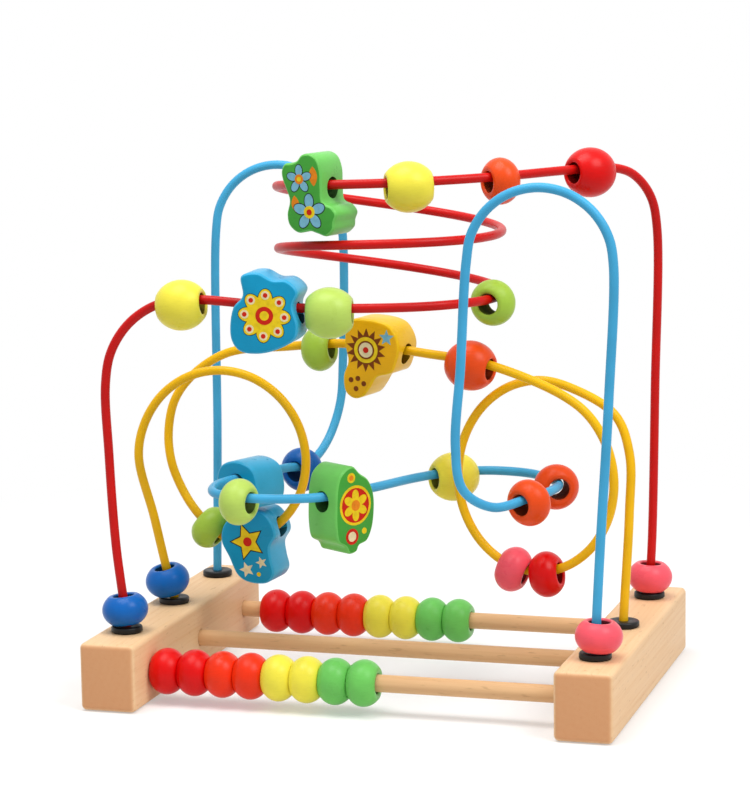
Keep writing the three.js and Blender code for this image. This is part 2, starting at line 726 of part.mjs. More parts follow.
addHangingBead("blue_wave_blue_ring", blue, RING_BEAD, COLOURS.blue);
addShapedBlock("blue_wave_blue_block", blue, OUTLINES.arch, COLOURS.sky, true);
addHangingBead("blue_wave_green_ring", blue, RING_BEAD, COLOURS.green);
addShapedBlock("blue_wave_green_block", blue, OUTLINES.shell, COLOURS.leaf);
addHangingBead("blue_wave_yellow_bead", blue, ROUND_BEAD, COLOURS.yellow);
addHangingBead("blue_wave_orange_ring", blue, RING_BEAD, COLOURS.orange);
addHangingBead("blue_wave_front_orange_ring", blue, RING_BEAD, COLOURS.orange);
addFootBead("blue_right_foot_bead", blue, "rightFoot", COLOURS.pink);

addFootBead("yellow_left_foot_bead", yellow, "leftFoot", COLOURS.blue);
addShapedBlock("yellow_loop_blue_block", yellow, OUTLINES.pear, COLOURS.sky);
addHangingBead("yellow_loop_green_ring", yellow, RING_BEAD, COLOURS.green);
addHangingBead("yellow_hump_green_ring", yellow, RING_BEAD, COLOURS.green);
addShapedBlock("yellow_hump_amber_block", yellow, OUTLINES.comb, COLOURS.amber);
addHangingBead("yellow_hump_orange_bead", yellow, ROUND_BEAD, COLOURS.orange);
addHangingBead("yellow_loop_red_ring", yellow, RING_BEAD, COLOURS.red);
addHangingBead("yellow_loop_pink_ring", yellow, RING_BEAD, COLOURS.pink);

addCountingBeads();

export default toy;
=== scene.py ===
"""Looks of a bead maze: bent wires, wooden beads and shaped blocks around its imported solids."""
import logging
import math
from dataclasses import dataclass
from enum import Enum

import bmesh
import bpy
import numpy as np
from mathutils import Matrix, Vector


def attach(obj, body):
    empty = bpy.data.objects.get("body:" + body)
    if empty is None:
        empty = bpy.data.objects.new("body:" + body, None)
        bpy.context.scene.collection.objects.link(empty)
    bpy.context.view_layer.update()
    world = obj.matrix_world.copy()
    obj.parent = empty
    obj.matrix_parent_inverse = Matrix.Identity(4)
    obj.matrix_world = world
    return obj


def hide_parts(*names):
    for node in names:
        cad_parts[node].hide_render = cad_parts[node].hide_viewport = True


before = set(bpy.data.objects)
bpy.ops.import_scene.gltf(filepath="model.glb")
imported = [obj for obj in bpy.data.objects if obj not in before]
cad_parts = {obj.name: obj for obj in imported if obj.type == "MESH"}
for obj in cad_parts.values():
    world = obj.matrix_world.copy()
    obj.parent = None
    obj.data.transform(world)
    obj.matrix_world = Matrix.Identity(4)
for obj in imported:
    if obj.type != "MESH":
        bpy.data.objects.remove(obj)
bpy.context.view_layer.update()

MM = 0.001
LOG = logging.getLogger("bead_maze")

Pair = tuple[float, float]
Triple = tuple[float, float, float]
Linear = tuple[float, float, float, float]
Ramp = tuple[float, float, float, float]
Corners = tuple[tuple[float, ...], ...]
Points = list[tuple[float, ...]]
Faces = list[tuple[int, ...]]
Mesh = bpy.types.Mesh
Socket = bpy.types.NodeSocket


# Sizes


@dataclass(frozen=True)
class BaseSizes:
    """Sizes of the base and of the wires' feet, in millimetres."""

    base_width: float = 280
    block_width: float = 30
    block_depth: float = 200
    block_height: float = 35.5
    block_edge: float = 2.8
    rod_diameter: float = 9
    rod_height: float = 16.6
    rod_spacing: float = 72
    rod_seat: float = 16
    wire_diameter: float = 4.8
    wire_spacing: float = 70
    wire_seat_wall: float = 2.5
    ferrule_diameter: float = 16.5
    ferrule_height: float = 3.2
    ferrule_crown: float = 1.1
    seat_gap: float = 0.3

    @property
    def post_x(self) -> float:
        """Distance of the wires' feet from the middle."""
        return (self.base_width - self.block_width) / 2

    @property
    def inner_x(self) -> float:
        """Distance of the blocks' inner faces from the middle."""
        return self.base_width / 2 - self.block_width

    @property
    def wire_seat(self) -> float:
        """Depth of a wire's foot in its block."""
        return self.block_height - self.rod_height - self.rod_diameter / 2 - self.wire_seat_wall

    @property
    def ferrule_base(self) -> float:
        """Height of a ferrule's underside."""
        return self.block_height + self.seat_gap

    @property
    def ferrule_top(self) -> float:
        """Height of a ferrule's top."""
        return self.ferrule_base + self.ferrule_height


@dataclass(frozen=True)
class BeadForm:
    """Sizes of one turned bead, in millimetres."""

    diameter: float
    length: float
    bore: float
    lip: float


BASE = BaseSizes()
ROD_SLACK = 1.4
ROUND_BEAD = BeadForm(diameter=26.6, length=23.5, bore=11, lip=1.8)
RING_BEAD = BeadForm(diameter=24.6, length=15, bore=11, lip=2.2)
COUNTING_BEAD = BeadForm(diameter=24.8, length=15, bore=BASE.rod_diameter + ROD_SLACK, lip=3)
HANG_GAP = 0.6
HANG_PLAY = (ROUND_BEAD.bore - BASE.wire_diameter) / 2 - HANG_GAP

UP = (0.0, 0.0, 1.0)
BACKWARD = (0.0, 1.0, 0.0)

# Angles in degrees above which an edge stays sharp.
SHARP_ANGLE = 40.0
CUT_SHARP_ANGLE = 32.0


class Side(Enum):
    """The end of the base that a piece stands at, as its direction along X."""

    LEFT = -1
    RIGHT = 1

    @property
    def word(self) -> str:
        """The side's word in a piece's name."""
        return self.name.lower()

    @property
    def foot(self) -> str:
        """The mark of a wire's foot at this side."""
        return f"{self.word}Foot"

    @property
    def post_x(self) -> float:
        """The place of the wires' feet from left to right."""
        return self.value * BASE.post_x


class Row(Enum):
    """The row that a rod or a wire's foot stands in, as its direction along Y."""

    FRONT = -1
    MIDDLE = 0
    BACK = 1

    @property
    def word(self) -> str:
        """The row's word in a piece's name."""
        return self.name.lower()

    @property
    def wire_y(self) -> float:
        """The place of the wires' feet from front to back."""
        return self.value * BASE.wire_spacing

    @property
    def rod_y(self) -> float:
        """The place of the rod from front to back."""
        return self.value * BASE.rod_spacing


class Axis(Enum):
    """The axis that wood fibres or a block's thickness run along."""

    X = 0
    Y = 1
    Z = 2


class Face(Enum):
    """The side of a shaped block that a print lies on, along the block's local Y."""

    FRONT = -1
    BACK = 1


class Part(Enum):
    """The parts of a bored piece that take different coats."""

    SIDE = 0
    BORE = 1
    FACE = 2


# Finishes


def linear(colour: Triple) -> Linear:
    """Turns a display colour into the linear one that a shader takes.

    Args:
        colour: Red, green and blue as seen on a screen, from 0 to 1.

    Returns:
        The linear colour with full alpha.
    """
    channels = [c / 12.92 if c <= 0.04045 else ((c + 0.055) / 1.055) ** 2.4 for c in colour]
    return (channels[0], channels[1], channels[2], 1.0)


def shade(colour: Triple, factor: float) -> Triple:
    """Darkens a colour below 1 and lightens it above 1.

    Args:
        colour: The display colour to change.
        factor: The share of the colour to keep, or one plus the share of white to add.

    Returns:
        The changed display colour.
    """
    if factor <= 1:
        return tuple(c * factor for c in colour)
    return tuple(c + (1 - c) * (factor - 1) for c in colour)


class NodeSketch:
    """A material under construction, with short calls for its nodes."""

    def __init__(self, name: str) -> None:
        """Starts an empty material with a principled shader.

        Args:
            name: The material's name.
        """
        self.material = bpy.data.materials.new(name)
        self.material.use_nodes = True
        self.tree = self.material.node_tree
        self.shader = self.tree.nodes["Principled BSDF"]
        coordinates = self.add("ShaderNodeTexCoord").outputs
        self.place = coordinates["Object"]
        self.facing = coordinates["Normal"]

    def add(self, kind: str, inputs: dict[str | int, object] | None = None,
            **settings: object) -> bpy.types.Node:
        """Adds a node.

        Args:
            kind: The node's type name.
            inputs: Values or output sockets for its input sockets.
            **settings: Values for the node's own properties.

        Returns:
            The new node.
        """
        node = self.tree.nodes.new(kind)
        for key, value in settings.items():
            setattr(node, key, value)
        for key, value in (inputs or {}).items():
            if isinstance(value, Socket):
                self.tree.links.new(value, node.inputs[key])
            else:
                node.inputs[key].default_value = value
        return node

    def stretched(self, scale: Triple) -> Socket:
        """Scales the object's coordinates to cycles per metre along each axis."""
        return self.add("ShaderNodeMapping", {"Vector": self.place, "Scale": scale}).outputs["Vector"]

    def noise(self, vector: Socket, scale: float, detail: float = 2.0) -> Socket:
        """Adds cloudy noise from 0 to 1, at a scale on some coordinates and with some octaves."""
        node = self.add("ShaderNodeTexNoise", {"Vector": vector, "Scale": scale, "Detail": detail})
        return node.outputs["Fac"]

    def ranged(self, value: Socket, low: float, high: float, start: float = 0.3, end: float = 0.7) -> Socket:
        """Maps a value to a range: low at start and below it, high at end and above it."""
        inputs = {"Value": value, "From Min": start, "From Max": end, "To Min": low, "To Max": high}
        return self.add("ShaderNodeMapRange", inputs).outputs["Result"]

    def math(self, operation: str, first: object, second: object = 0.0) -> Socket:
        """Works out a sum of one or two values or sockets."""
        return self.add("ShaderNodeMath", {0: first, 1: second}, operation=operation).outputs[0]

    def vector(self, operation: str, *values: object) -> Socket:
        """Works out a sum of vectors: a number for a length or a dot product, or else a vector."""
        node = self.add("ShaderNodeVectorMath", dict(enumerate(values)), operation=operation)
        return node.outputs["Value" if operation in ("LENGTH", "DOT_PRODUCT") else "Vector"]

    def mix(self, factor: Socket, first: object, second: object) -> Socket:
        """Mixes two linear colours or sockets by the share of the second."""
        inputs = {"Factor": factor, 6: first, 7: second}
        return self.add("ShaderNodeMix", inputs, data_type="RGBA").outputs[2]

    def bump(self, height: Socket, depth: float) -> None:
        """Roughens the surface by a relief from 0 to 1, to a depth in millimetres."""
        node = self.add("ShaderNodeBump", {"Height": height, "Strength": 1.0, "Distance": depth * MM})
        self.feed("Normal", node.outputs["Normal"])

    def feed(self, socket: str, value: Socket) -> None:
        """Links a value to the shader."""
        self.tree.links.new(value, self.shader.inputs[socket])

    def set(self, **values: float) -> None:
        """Sets plain values on the shader, with underscores for spaces in the sockets' names."""
        for key, value in values.items():
            self.shader.inputs[key.replace("_", " ")].default_value = value


@dataclass(frozen=True)
class Coat:
    """What every finish has: its colour, the slot that it fills, its gloss and its relief."""

    name: str
    colour: Triple
    slot: str
    rough: Pair = (0.26, 0.36)
    specular: float = 0.2
    relief: float = 0.04

    def build(self) -> bpy.types.Material:
        """Makes the material.

        Returns:
            The finished material.
        """
        sketch = NodeSketch(self.name)
        self.draw(sketch)
        sketch.set(Specular_IOR_Level=self.specular)
        return sketch.material

    def draw(self, sketch: NodeSketch) -> None:
        """Draws the finish on its sketch, each kind in its own way."""
        raise NotImplementedError

    def tone(self, factor: float = 1.0) -> Linear:
        """Gives a shade of the finish's colour as a shader takes it."""
        return linear(shade(self.colour, factor))

    def cover(self, sketch: NodeSketch, tint: Socket, gloss: Socket, relief: Socket) -> None:
        """Gives the shader its colour, an uneven gloss and a relief.

        Args:
            sketch: The material under construction.
            tint: The colour.
            gloss: The noise that varies the roughness.
            relief: The noise that roughens the surface.
        """
        sketch.feed("Base Color", tint)
        sketch.feed("Roughness", sketch.ranged(gloss, *self.rough))
        sketch.bump(relief, self.relief)


@dataclass(frozen=True)
class SatinPaint(Coat):
    """Satin paint on wood: cloudy cover, fine grain under the film and an uneven gloss."""

    cloud_scale: float = 70
    fibre_scale: Triple = (260, 260, 1500)
    peel_scale: float = 1300
    thin_shade: float = 0.95
    grain_shade: float = 0.82
    grain: Ramp = (0.0, 0.16, 0.5, 0.75)

    def draw(self, sketch: NodeSketch) -> None:
        """Draws the paint.

        Args:
            sketch: The material under construction.
        """
        cloud = sketch.noise(sketch.place, self.cloud_scale, 3)
        fibre = sketch.noise(sketch.stretched(self.fibre_scale), 1, 3)
        peel = sketch.noise(sketch.place, self.peel_scale, 2)
        film = sketch.mix(sketch.ranged(cloud, 0.0, 1.0), self.tone(self.thin_shade), self.tone())
        tint = sketch.mix(sketch.ranged(fibre, *self.grain), film, self.tone(self.grain_shade))
        half_fibre, half_peel = (sketch.math("MULTIPLY", part, 0.5) for part in (fibre, peel))
        self.cover(sketch, tint, cloud, sketch.math("ADD", half_fibre, half_peel))


@dataclass(frozen=True)
class ShadedBoreCoat(Coat):
    """Painted shade in a bore: the paint darkened, patchy and dull."""

    rough: Pair = (0.8, 0.95)
    specular: float = 0.1
    relief: float = 0.08
    patch_scale: float = 160
    fibre_scale: Triple = (700, 700, 90)
    # Painted shade: the shares of the paint's colour that the bore is darkened to.
    shades: Pair = (0.42, 0.6)

    def draw(self, sketch: NodeSketch) -> None:
        """Draws the dull coat.

        Args:
            sketch: The material under construction.
        """
        patch = sketch.noise(sketch.place, self.patch_scale, 3)
        fibre = sketch.noise(sketch.stretched(self.fibre_scale), 1, 3)
        dark, pale = map(self.tone, self.shades)
        self.cover(sketch, sketch.mix(sketch.ranged(patch, 0.0, 1.0), dark, pale), fibre, fibre)


@dataclass(frozen=True)
class WireCoat(Coat):
    """Smooth plastic coat on steel wire, with slight ripples along its length."""

    rough: Pair = (0.28, 0.38)
    relief: float = 0.01
    cloud_scale: float = 40
    ripple_scale: float = 260
    thin_shade: float = 0.93

    def draw(self, sketch: NodeSketch) -> None:
        """Draws the plastic coat.

        Args:
            sketch: The material under construction.
        """
        cloud = sketch.noise(sketch.place, self.cloud_scale)
        ripple = sketch.noise(sketch.place, self.ripple_scale)
        tint = sketch.mix(sketch.ranged(cloud, 0.0, 1.0), self.tone(self.thin_shade), self.tone())
        self.cover(sketch, tint, ripple, ripple)


@dataclass(frozen=True, kw_only=True)
class BeechWood(Coat):
    """Oiled beech with growth rings, fibres along one axis and small darker flecks."""

    dark: Triple
    # The end grain's colour; in the beech it is darkened past the wood's own end grain, as painted shade on
    # the blocks' front and back faces.
    end: Triple
    along: Axis
    rough: Pair = (0.42, 0.56)
    specular: float = 0.15
    relief: float = 0.05
    heart: Triple = (0.085, 0.085, -0.07)
    ring_spacing: float = 4.2
    ring_drift: float = 9.0
    ring_share: float = 0.1
    fleck_shade: float = 0.8
    drift_scales: Pair = (9.0, 28.0)
    fibre_scales: Pair = (14.0, 620.0)
    fleck_scales: Pair = (150.0, 800.0)
    streaks: Ramp = (0.0, 0.3, 0.45, 0.8)
    flecks: Ramp = (0.0, 0.35, 0.64, 0.78)
    end_soak_and_shade: Ramp = (0.0, 0.75, 0.6, 0.95)

    def split(self, lengthways: float, across: float) -> Triple:
        """Gives one value along the fibres and another across them."""
        return tuple(lengthways if axis is self.along else across for axis in Axis)

    def rings(self, sketch: NodeSketch) -> Socket:
        """Draws growth rings about the heart of the tree.

        Args:
            sketch: The material under construction.

        Returns:
            How much of the dark wood shows.
        """
        drift = sketch.noise(sketch.stretched(self.split(*self.drift_scales)), 1, 2)
        offset = sketch.vector("SUBTRACT", sketch.place, self.heart)
        radius = sketch.vector("LENGTH", sketch.vector("MULTIPLY", offset, self.split(0.0, 1.0)))
        turns = sketch.math("MULTIPLY", radius, 2 * math.pi / (self.ring_spacing * MM))
        wander = sketch.math("MULTIPLY", drift, self.ring_drift)
        wave = sketch.math("SINE", sketch.math("ADD", turns, wander))
        return sketch.ranged(wave, 0.0, self.ring_share, -1.0, 1.0)

    def draw(self, sketch: NodeSketch) -> None:
        """Draws the wood.

        Args:
            sketch: The material under construction.
        """
        fibre = sketch.noise(sketch.stretched(self.split(*self.fibre_scales)), 1, 4)
        fleck = sketch.noise(sketch.stretched(self.split(*self.fleck_scales)), 1, 1)
        ringed = sketch.mix(self.rings(sketch), self.tone(), linear(self.dark))
        streaked = sketch.mix(sketch.ranged(fibre, *self.streaks), ringed, linear(self.dark))
        fleck_tone = linear(shade(self.dark, self.fleck_shade))
        flecked = sketch.mix(sketch.ranged(fleck, *self.flecks), streaked, fleck_tone)
        # End grain is darker than side grain: partly the wood's real soak, partly painted shade on the
        # blocks' front and back faces.
        cosine = sketch.vector("DOT_PRODUCT", sketch.facing, self.split(1.0, 0.0))
        end_grain_and_shade = sketch.ranged(sketch.math("ABSOLUTE", cosine), *self.end_soak_and_shade)
        self.cover(sketch, sketch.mix(end_grain_and_shade, flecked, linear(self.end)), fibre, fibre)


@dataclass(frozen=True)
class BlackPlastic(Coat):
    """Moulded black plastic with a fine texture and rubbed high spots."""

    rough: Pair = (0.34, 0.48)
    specular: float = 0.3
    relief: float = 0.05
    grain_scale: float = 1800
    cloud_scale: float = 120
    rubbed_shade: float = 1.05

    def draw(self, sketch: NodeSketch) -> None:
        """Draws the plastic.

        Args:
            sketch: The material under construction.
        """
        grain = sketch.noise(sketch.place, self.grain_scale)
        cloud = sketch.noise(sketch.place, self.cloud_scale)
        tint = sketch.mix(sketch.ranged(cloud, 0.0, 1.0), self.tone(), self.tone(self.rubbed_shade))
        self.cover(sketch, tint, cloud, grain)


@dataclass(frozen=True)
class PrintInk(Coat):
    """Printed ink on paint: flat colour with a slight mottle."""

    rough: Pair = (0.4, 0.52)
    specular: float = 0.12
    relief: float = 0.015
    mottle_scale: float = 420
    cloud_scale: float = 90
    mottle_shade: float = 0.86
    mottling: Ramp = (0.0, 0.6, 0.4, 0.7)

    def draw(self, sketch: NodeSketch) -> None:
        """Draws the ink.

        Args:
            sketch: The material under construction.
        """
        mottle = sketch.noise(sketch.place, self.mottle_scale, 3)
        cloud = sketch.noise(sketch.place, self.cloud_scale)
        tint = sketch.mix(sketch.ranged(mottle, *self.mottling), self.tone(), self.tone(self.mottle_shade))
        self.cover(sketch, tint, cloud, mottle)


class Finish(Enum):
    """Every finish on the toy."""

    # The beech's end colour is partly real end grain and partly painted shade on the blocks' front and back
    # faces.
    BEECH = BeechWood("beech", (0.935, 0.785, 0.61), "beech", along=Axis.Y,
                      dark=(0.86, 0.65, 0.45), end=(0.82, 0.56, 0.375))
    ROD_WOOD = BeechWood("rod beech", (0.885, 0.715, 0.53), "rod_wood", along=Axis.X,
                         dark=(0.77, 0.56, 0.37), end=(0.82, 0.60, 0.41))
    BLACK = BlackPlastic("black ferrule", (0.03, 0.028, 0.028), "black_ferrule")
    RED_WIRE = WireCoat("red wire coat", (0.82, 0.06, 0.045), "red_wire")
    BLUE_WIRE = WireCoat("blue wire coat", (0.28, 0.69, 0.88), "blue_wire")
    YELLOW_WIRE = WireCoat("yellow wire coat", (0.985, 0.76, 0.05), "yellow_wire")
    RED = SatinPaint("red paint", (0.88, 0.025, 0.02), "red_paint")
    VERMILION = SatinPaint("vermilion paint", (0.95, 0.20, 0.05), "orange_paint")
    ORANGE = SatinPaint("orange paint", (0.95, 0.31, 0.08), "orange_paint")
    YELLOW = SatinPaint("yellow paint", (0.97, 0.915, 0.29), "yellow_paint")
    LIME = SatinPaint("lime paint", (0.755, 0.875, 0.40), "lime_paint")
    DEEP_LIME = SatinPaint("deep lime paint", (0.665, 0.81, 0.28), "lime_paint")
    GREEN = SatinPaint("green paint", (0.44, 0.79, 0.37), "green_paint")
    BLUE = SatinPaint("blue paint", (0.05, 0.40, 0.74), "blue_paint")
    PINK = SatinPaint("pink paint", (0.98, 0.36, 0.42), "pink_paint")
    SKY = SatinPaint("sky blue paint", (0.22, 0.68, 0.86), "sky_paint")
    # Darker copies of the sky, green and amber paints: painted shade on the shaped blocks' flat faces.
    SKY_SHADED_FACE = SatinPaint("deep sky blue paint", (0.05, 0.61, 0.79), "sky_paint")
    GREEN_SHADED_FACE = SatinPaint("deep green paint", (0.27, 0.65, 0.23), "green_paint")
    AMBER = SatinPaint("amber paint", (0.99, 0.80, 0.08), "amber_paint")
    AMBER_SHADED_FACE = SatinPaint("deep amber paint", (0.98, 0.73, 0.04), "amber_paint")


# The paint that carries the painted shade on a shaped block's flat faces.
SHADED_FACE_PAINTS = {
    Finish.SKY: Finish.SKY_SHADED_FACE,
    Finish.GREEN: Finish.GREEN_SHADED_FACE,
    Finish.AMBER: Finish.AMBER_SHADED_FACE,
}


class Ink(Enum):
    """The inks of the prints on the shaped blocks."""

    YELLOW = PrintInk("yellow ink", (0.96, 0.83, 0.13), "yellow_paint")
    ORANGE = PrintInk("orange ink", (0.94, 0.55, 0.13), "orange_paint")
    RED = PrintInk("red ink", (0.83, 0.16, 0.09), "red_paint")
    CREAM = PrintInk("cream ink", (0.95, 0.89, 0.70), "yellow_paint")
    PALE_BLUE = PrintInk("pale blue ink", (0.50, 0.74, 0.83), "sky_paint")
    BROWN = PrintInk("brown ink", (0.50, 0.25, 0.07), "amber_paint")
    DARK = PrintInk("dark ink", (0.13, 0.11, 0.10), "black_ferrule")


class Workshop:
    """Keeps the materials made so far and turns meshes into dressed pieces."""

    def __init__(self) -> None:
        """Starts with no materials."""
        self.materials: dict[str, bpy.types.Material] = {}

    def material(self, coat: Coat) -> bpy.types.Material:
        """Gives the material of a finish, made once.

        Args:
            coat: The finish wanted.

        Returns:
            Its material.
        """
        if coat.name not in self.materials:
            self.materials[coat.name] = coat.build()
        return self.materials[coat.name]

    def dress(self, mesh: Mesh, parts: list[Part], side: Finish, face: Finish | None = None) -> None:
        """Paints a bored piece, with painted shade in its bore: a darker, dull copy of its paint.

        Args:
            mesh: The piece's mesh.
            parts: The part of the piece that each of its faces belongs to.
            side: The paint on its sides.
            face: A darker copy of the side paint, painted as shade on its flat faces, or None for the same
                paint.
        """
        paint = side.value
        # The bore takes a darker, dull copy of the paint as painted shade.
        bore = ShadedBoreCoat(f"{paint.name} in bore", paint.colour, paint.slot)
        mesh.materials.clear()
        for coat in (paint, bore, (face or side).value):
            mesh.materials.append(self.material(coat))
        mesh.polygons.foreach_set("material_index", [part.value for part in parts])

    def piece(self, name: str, mesh: Mesh, finish: Finish | Ink, body: str, node: str | None) -> None:
        """Links a mesh as a piece that rides on a body.

        Args:
            name: The piece's name.
            mesh: Its mesh, in metres, where the piece stands at rest.
            finish: Its finish.
            body: The body that it moves with.
            node: The solid that it stands for, or None.
        """
        obj = bpy.data.objects.new(name, mesh)
        bpy.context.scene.collection.objects.link(obj)
        if not mesh.materials:
            mesh.materials.append(self.material(finish.value))
        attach(obj, body)
        if node:
            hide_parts(node)
        LOG.info("%s rides on %s: %d faces", name, body, len(mesh.polygons))


# Meshes


def round_angles(count: int) -> list[float]:
    """Gives evenly spaced angles of a full turn, in radians."""
    return [2 * math.pi * k / count for k in range(count)]


def quarter_angles(steps: int) -> list[float]:
    """Gives evenly spaced angles of a quarter turn with both its ends, in radians."""
    return [math.radians(90 * k / steps) for k in range(steps + 1)]


def unit(vector: np.ndarray) -> np.ndarray:
    """Scales a vector to a length of one."""
    return vector / np.linalg.norm(vector)


def spline(p0: np.ndarray, p1: np.ndarray, p2: np.ndarray, p3: np.ndarray, t: float) -> np.ndarray:
    """Gives a point of the centripetal spline through four points.

    Args:
        p0: The point before the stretch.
        p1: The point where the stretch starts.
        p2: The point where it ends.
        p3: The point after it.
        t: The share of the stretch, from 0 to 1.

    Returns:
        The point.
    """
    d0, d1, d2 = (math.sqrt(float(np.linalg.norm(b - a))) for a, b in ((p0, p1), (p1, p2), (p2, p3)))
    t1 = ((p1 - p0) / d0 - (p2 - p0) / (d0 + d1) + (p2 - p1) / d1) * d1
    t2 = ((p2 - p1) / d1 - (p3 - p1) / (d1 + d2) + (p3 - p2) / d2) * d1
    return p1 + t1 * t + (3 * (p2 - p1) - 2 * t1 - t2) * t**2 + (2 * (p1 - p2) + t1 + t2) * t**3


def bridge(rings: int, size: int, looped: bool = False) -> Faces:
    """Joins rings of points that follow each other.

    Args:
        rings: The number of rings.
        size: The number of points in each.
        looped: Whether the last ring joins the first; if not, both ends are closed.

    Returns:
        The faces.
    """
    faces: Faces = []
    for i in range(rings if looped else rings - 1):
        low, high = i * size, (i + 1) % rings * size
        for k in range(size):
            after = (k + 1) % size
            faces.append((low + k, low + after, high + after, high + k))
    if not looped:
        faces.append(tuple(range(size)))
        faces.append(tuple(range((rings - 1) * size, rings * size)))
    return faces


def lathe(profile: Points, sides: int = 64) -> tuple[np.ndarray, Faces]:
    """Turns a closed profile, pairs of place along X and radius, about X."""
    points = [(x, r * math.cos(a), r * math.sin(a)) for a in round_angles(sides) for x, r in profile]
    return np.array(points), bridge(sides, len(profile), looped=True)


def lathe_solid(profile: Points, sides: int = 48) -> tuple[np.ndarray, Faces]:
    """Turns an open profile, pairs of place along X and radius, about X and closes its ends."""
    points = [(x, r * math.cos(a), r * math.sin(a)) for x, r in profile for a in round_angles(sides)]
    return np.array(points), bridge(len(profile), sides)


def smooth(mesh: Mesh, sharp: float) -> None:
    """Shades a mesh smooth, with sharp edges above an angle in degrees."""
    mesh.polygons.foreach_set("use_smooth", [True] * len(mesh.polygons))
    mesh.set_sharp_from_angle(angle=math.radians(sharp))


def mesh_from(name: str, points: np.ndarray, faces: Faces, sharp: float = SHARP_ANGLE) -> Mesh:
    """Makes a smooth mesh from points in millimetres.

    Args:
        name: The mesh's name.
        points: The vertices, one row each, in millimetres.
        faces: The corners of each face.
        sharp: The angle in degrees above which an edge stays sharp.

    Returns:
        The mesh, in metres.
    """
    mesh = bpy.data.meshes.new(name)
    mesh.from_pydata([tuple(float(c) * MM for c in p) for p in points], [], faces)
    mesh.validate()
    shape = bmesh.new()
    shape.from_mesh(mesh)
    bmesh.ops.recalc_face_normals(shape, faces=shape.faces)
    shape.to_mesh(mesh)
    shape.free()
    smooth(mesh, sharp)
    return mesh


def cylinder(diameter: float, start: Vector, end: Vector, sides: int = 48) -> Mesh:
    """Makes a closed cylinder to cut with.

    Args:
        diameter: Its diameter in millimetres.
        start: The middle of one end, in millimetres.
        end: The middle of the other end, in millimetres.
        sides: The number of its sides.

    Returns:
        The mesh, in metres.
    """
    shape = bmesh.new()
    way = end - start
    turn = way.to_track_quat("Z", "Y").to_matrix().to_4x4()
    place = Matrix.Translation((start + end) / 2 * MM) @ turn
    radius = diameter / 2 * MM
    bmesh.ops.create_cone(shape, cap_ends=True, segments=sides, radius1=radius, radius2=radius,
                          depth=way.length * MM, matrix=place)
    mesh = bpy.data.meshes.new("cutter")
    shape.to_mesh(mesh)
    shape.free()
    return mesh


def cut(mesh: Mesh, cutters: list[Mesh], name: str) -> Mesh:
    """Cuts holes in a mesh.

    Args:
        mesh: The mesh to cut.
        cutters: Closed meshes to take away.
        name: The name of the result.

    Returns:
        The cut mesh.
    """
    scene = bpy.context.scene
    blank = bpy.data.objects.new("blank", mesh)
    scene.collection.objects.link(blank)
    tools = []
    for cutter in cutters:
        tool = bpy.data.objects.new("tool", cutter)
        scene.collection.objects.link(tool)
        tools.append(tool)
        hole = blank.modifiers.new("hole", "BOOLEAN")
        hole.operation = "DIFFERENCE"
        hole.solver = "EXACT"
        hole.object = tool
    graph = bpy.context.evaluated_depsgraph_get()
    done = bpy.data.meshes.new_from_object(blank.evaluated_get(graph))
    done.name = name
    for obj in [blank, *tools]:
        bpy.data.objects.remove(obj)
    smooth(done, CUT_SHARP_ANGLE)
    return done


# Wires


class WireRoute:
    """The middle line of one wire, gathered point by point from its left foot to its right."""

    BOW_STEP = 22.5

    def __init__(self) -> None:
        """Starts with no points."""
        self.points: Points = []
        self.marks: dict[str, int] = {}

    def to(self, x: float, y: float, z: float, mark: str = "") -> "WireRoute":
        """Adds a point.

        Args:
            x: Its place from left to right.
            y: Its place from front to back.
            z: Its height.
            mark: Its mark, if it has one.

        Returns:
            The route.
        """
        self.points.append((x, y, z))
        if mark:
            self.marks[mark] = len(self.points) - 1
        return self

    def foot(self, side: Side, row: Row) -> "WireRoute":
        """Adds a foot, upright in its block and ferrule: the wire goes up at the left and down at the right.

        Args:
            side: The end of the base.
            row: The row.

        Returns:
            The route.
        """
        seat, clear = BASE.block_height - BASE.wire_seat, BASE.ferrule_top + BASE.seat_gap
        climb = [(seat, ""), (BASE.block_height, ""), (clear, side.foot)]
        for z, mark in climb if side is Side.LEFT else reversed(climb):
            self.to(side.post_x, row.wire_y, z, mark)
        return self

    def post(self, side: Side, row: Row, leans: Corners) -> "WireRoute":
        """Adds the points of a post.

        Args:
            side: The end of the base.
            row: The row.
            leans: Pairs of lean outwards and height.

        Returns:
            The route.
        """
        for lean, z in leans:
            self.to(side.value * (BASE.post_x + lean), row.wire_y, z)
        return self

    def through(self, points: Corners, mark: str, height: float = 0.0) -> "WireRoute":
        """Adds a list of points.

        Args:
            points: The points, with or without a height of their own.
            mark: The start of their marks.
            height: The height to add to each.

        Returns:
            The route.
        """
        for i, (x, y, *z) in enumerate(points):
            self.to(x, y, height + (z[0] if z else 0.0), f"{mark}{i}")
        return self

    def bow(self, centre: Triple, width: float, height: float, start: float, end: float, mark: str,
            drift: float = 0.0) -> "WireRoute":
        """Adds part of an upright ellipse that faces the front.

        Args:
            centre: The ellipse's middle.
            width: Half its width.
            height: Half its height.
            start: The angle that it starts at, in degrees.
            end: The angle that it ends at, in degrees.
            mark: The start of its points' marks.
            drift: How far it moves back on its way.

        Returns:
            The route.
        """
        steps = round(abs(end - start) / self.BOW_STEP)
        for i in range(steps + 1):
            share = i / steps
            angle = math.radians(start + (end - start) * share)
            x = centre[0] + width * math.cos(angle)
            self.to(x, centre[1] + drift * share, centre[2] + height * math.sin(angle), f"{mark}{i}")
        return self


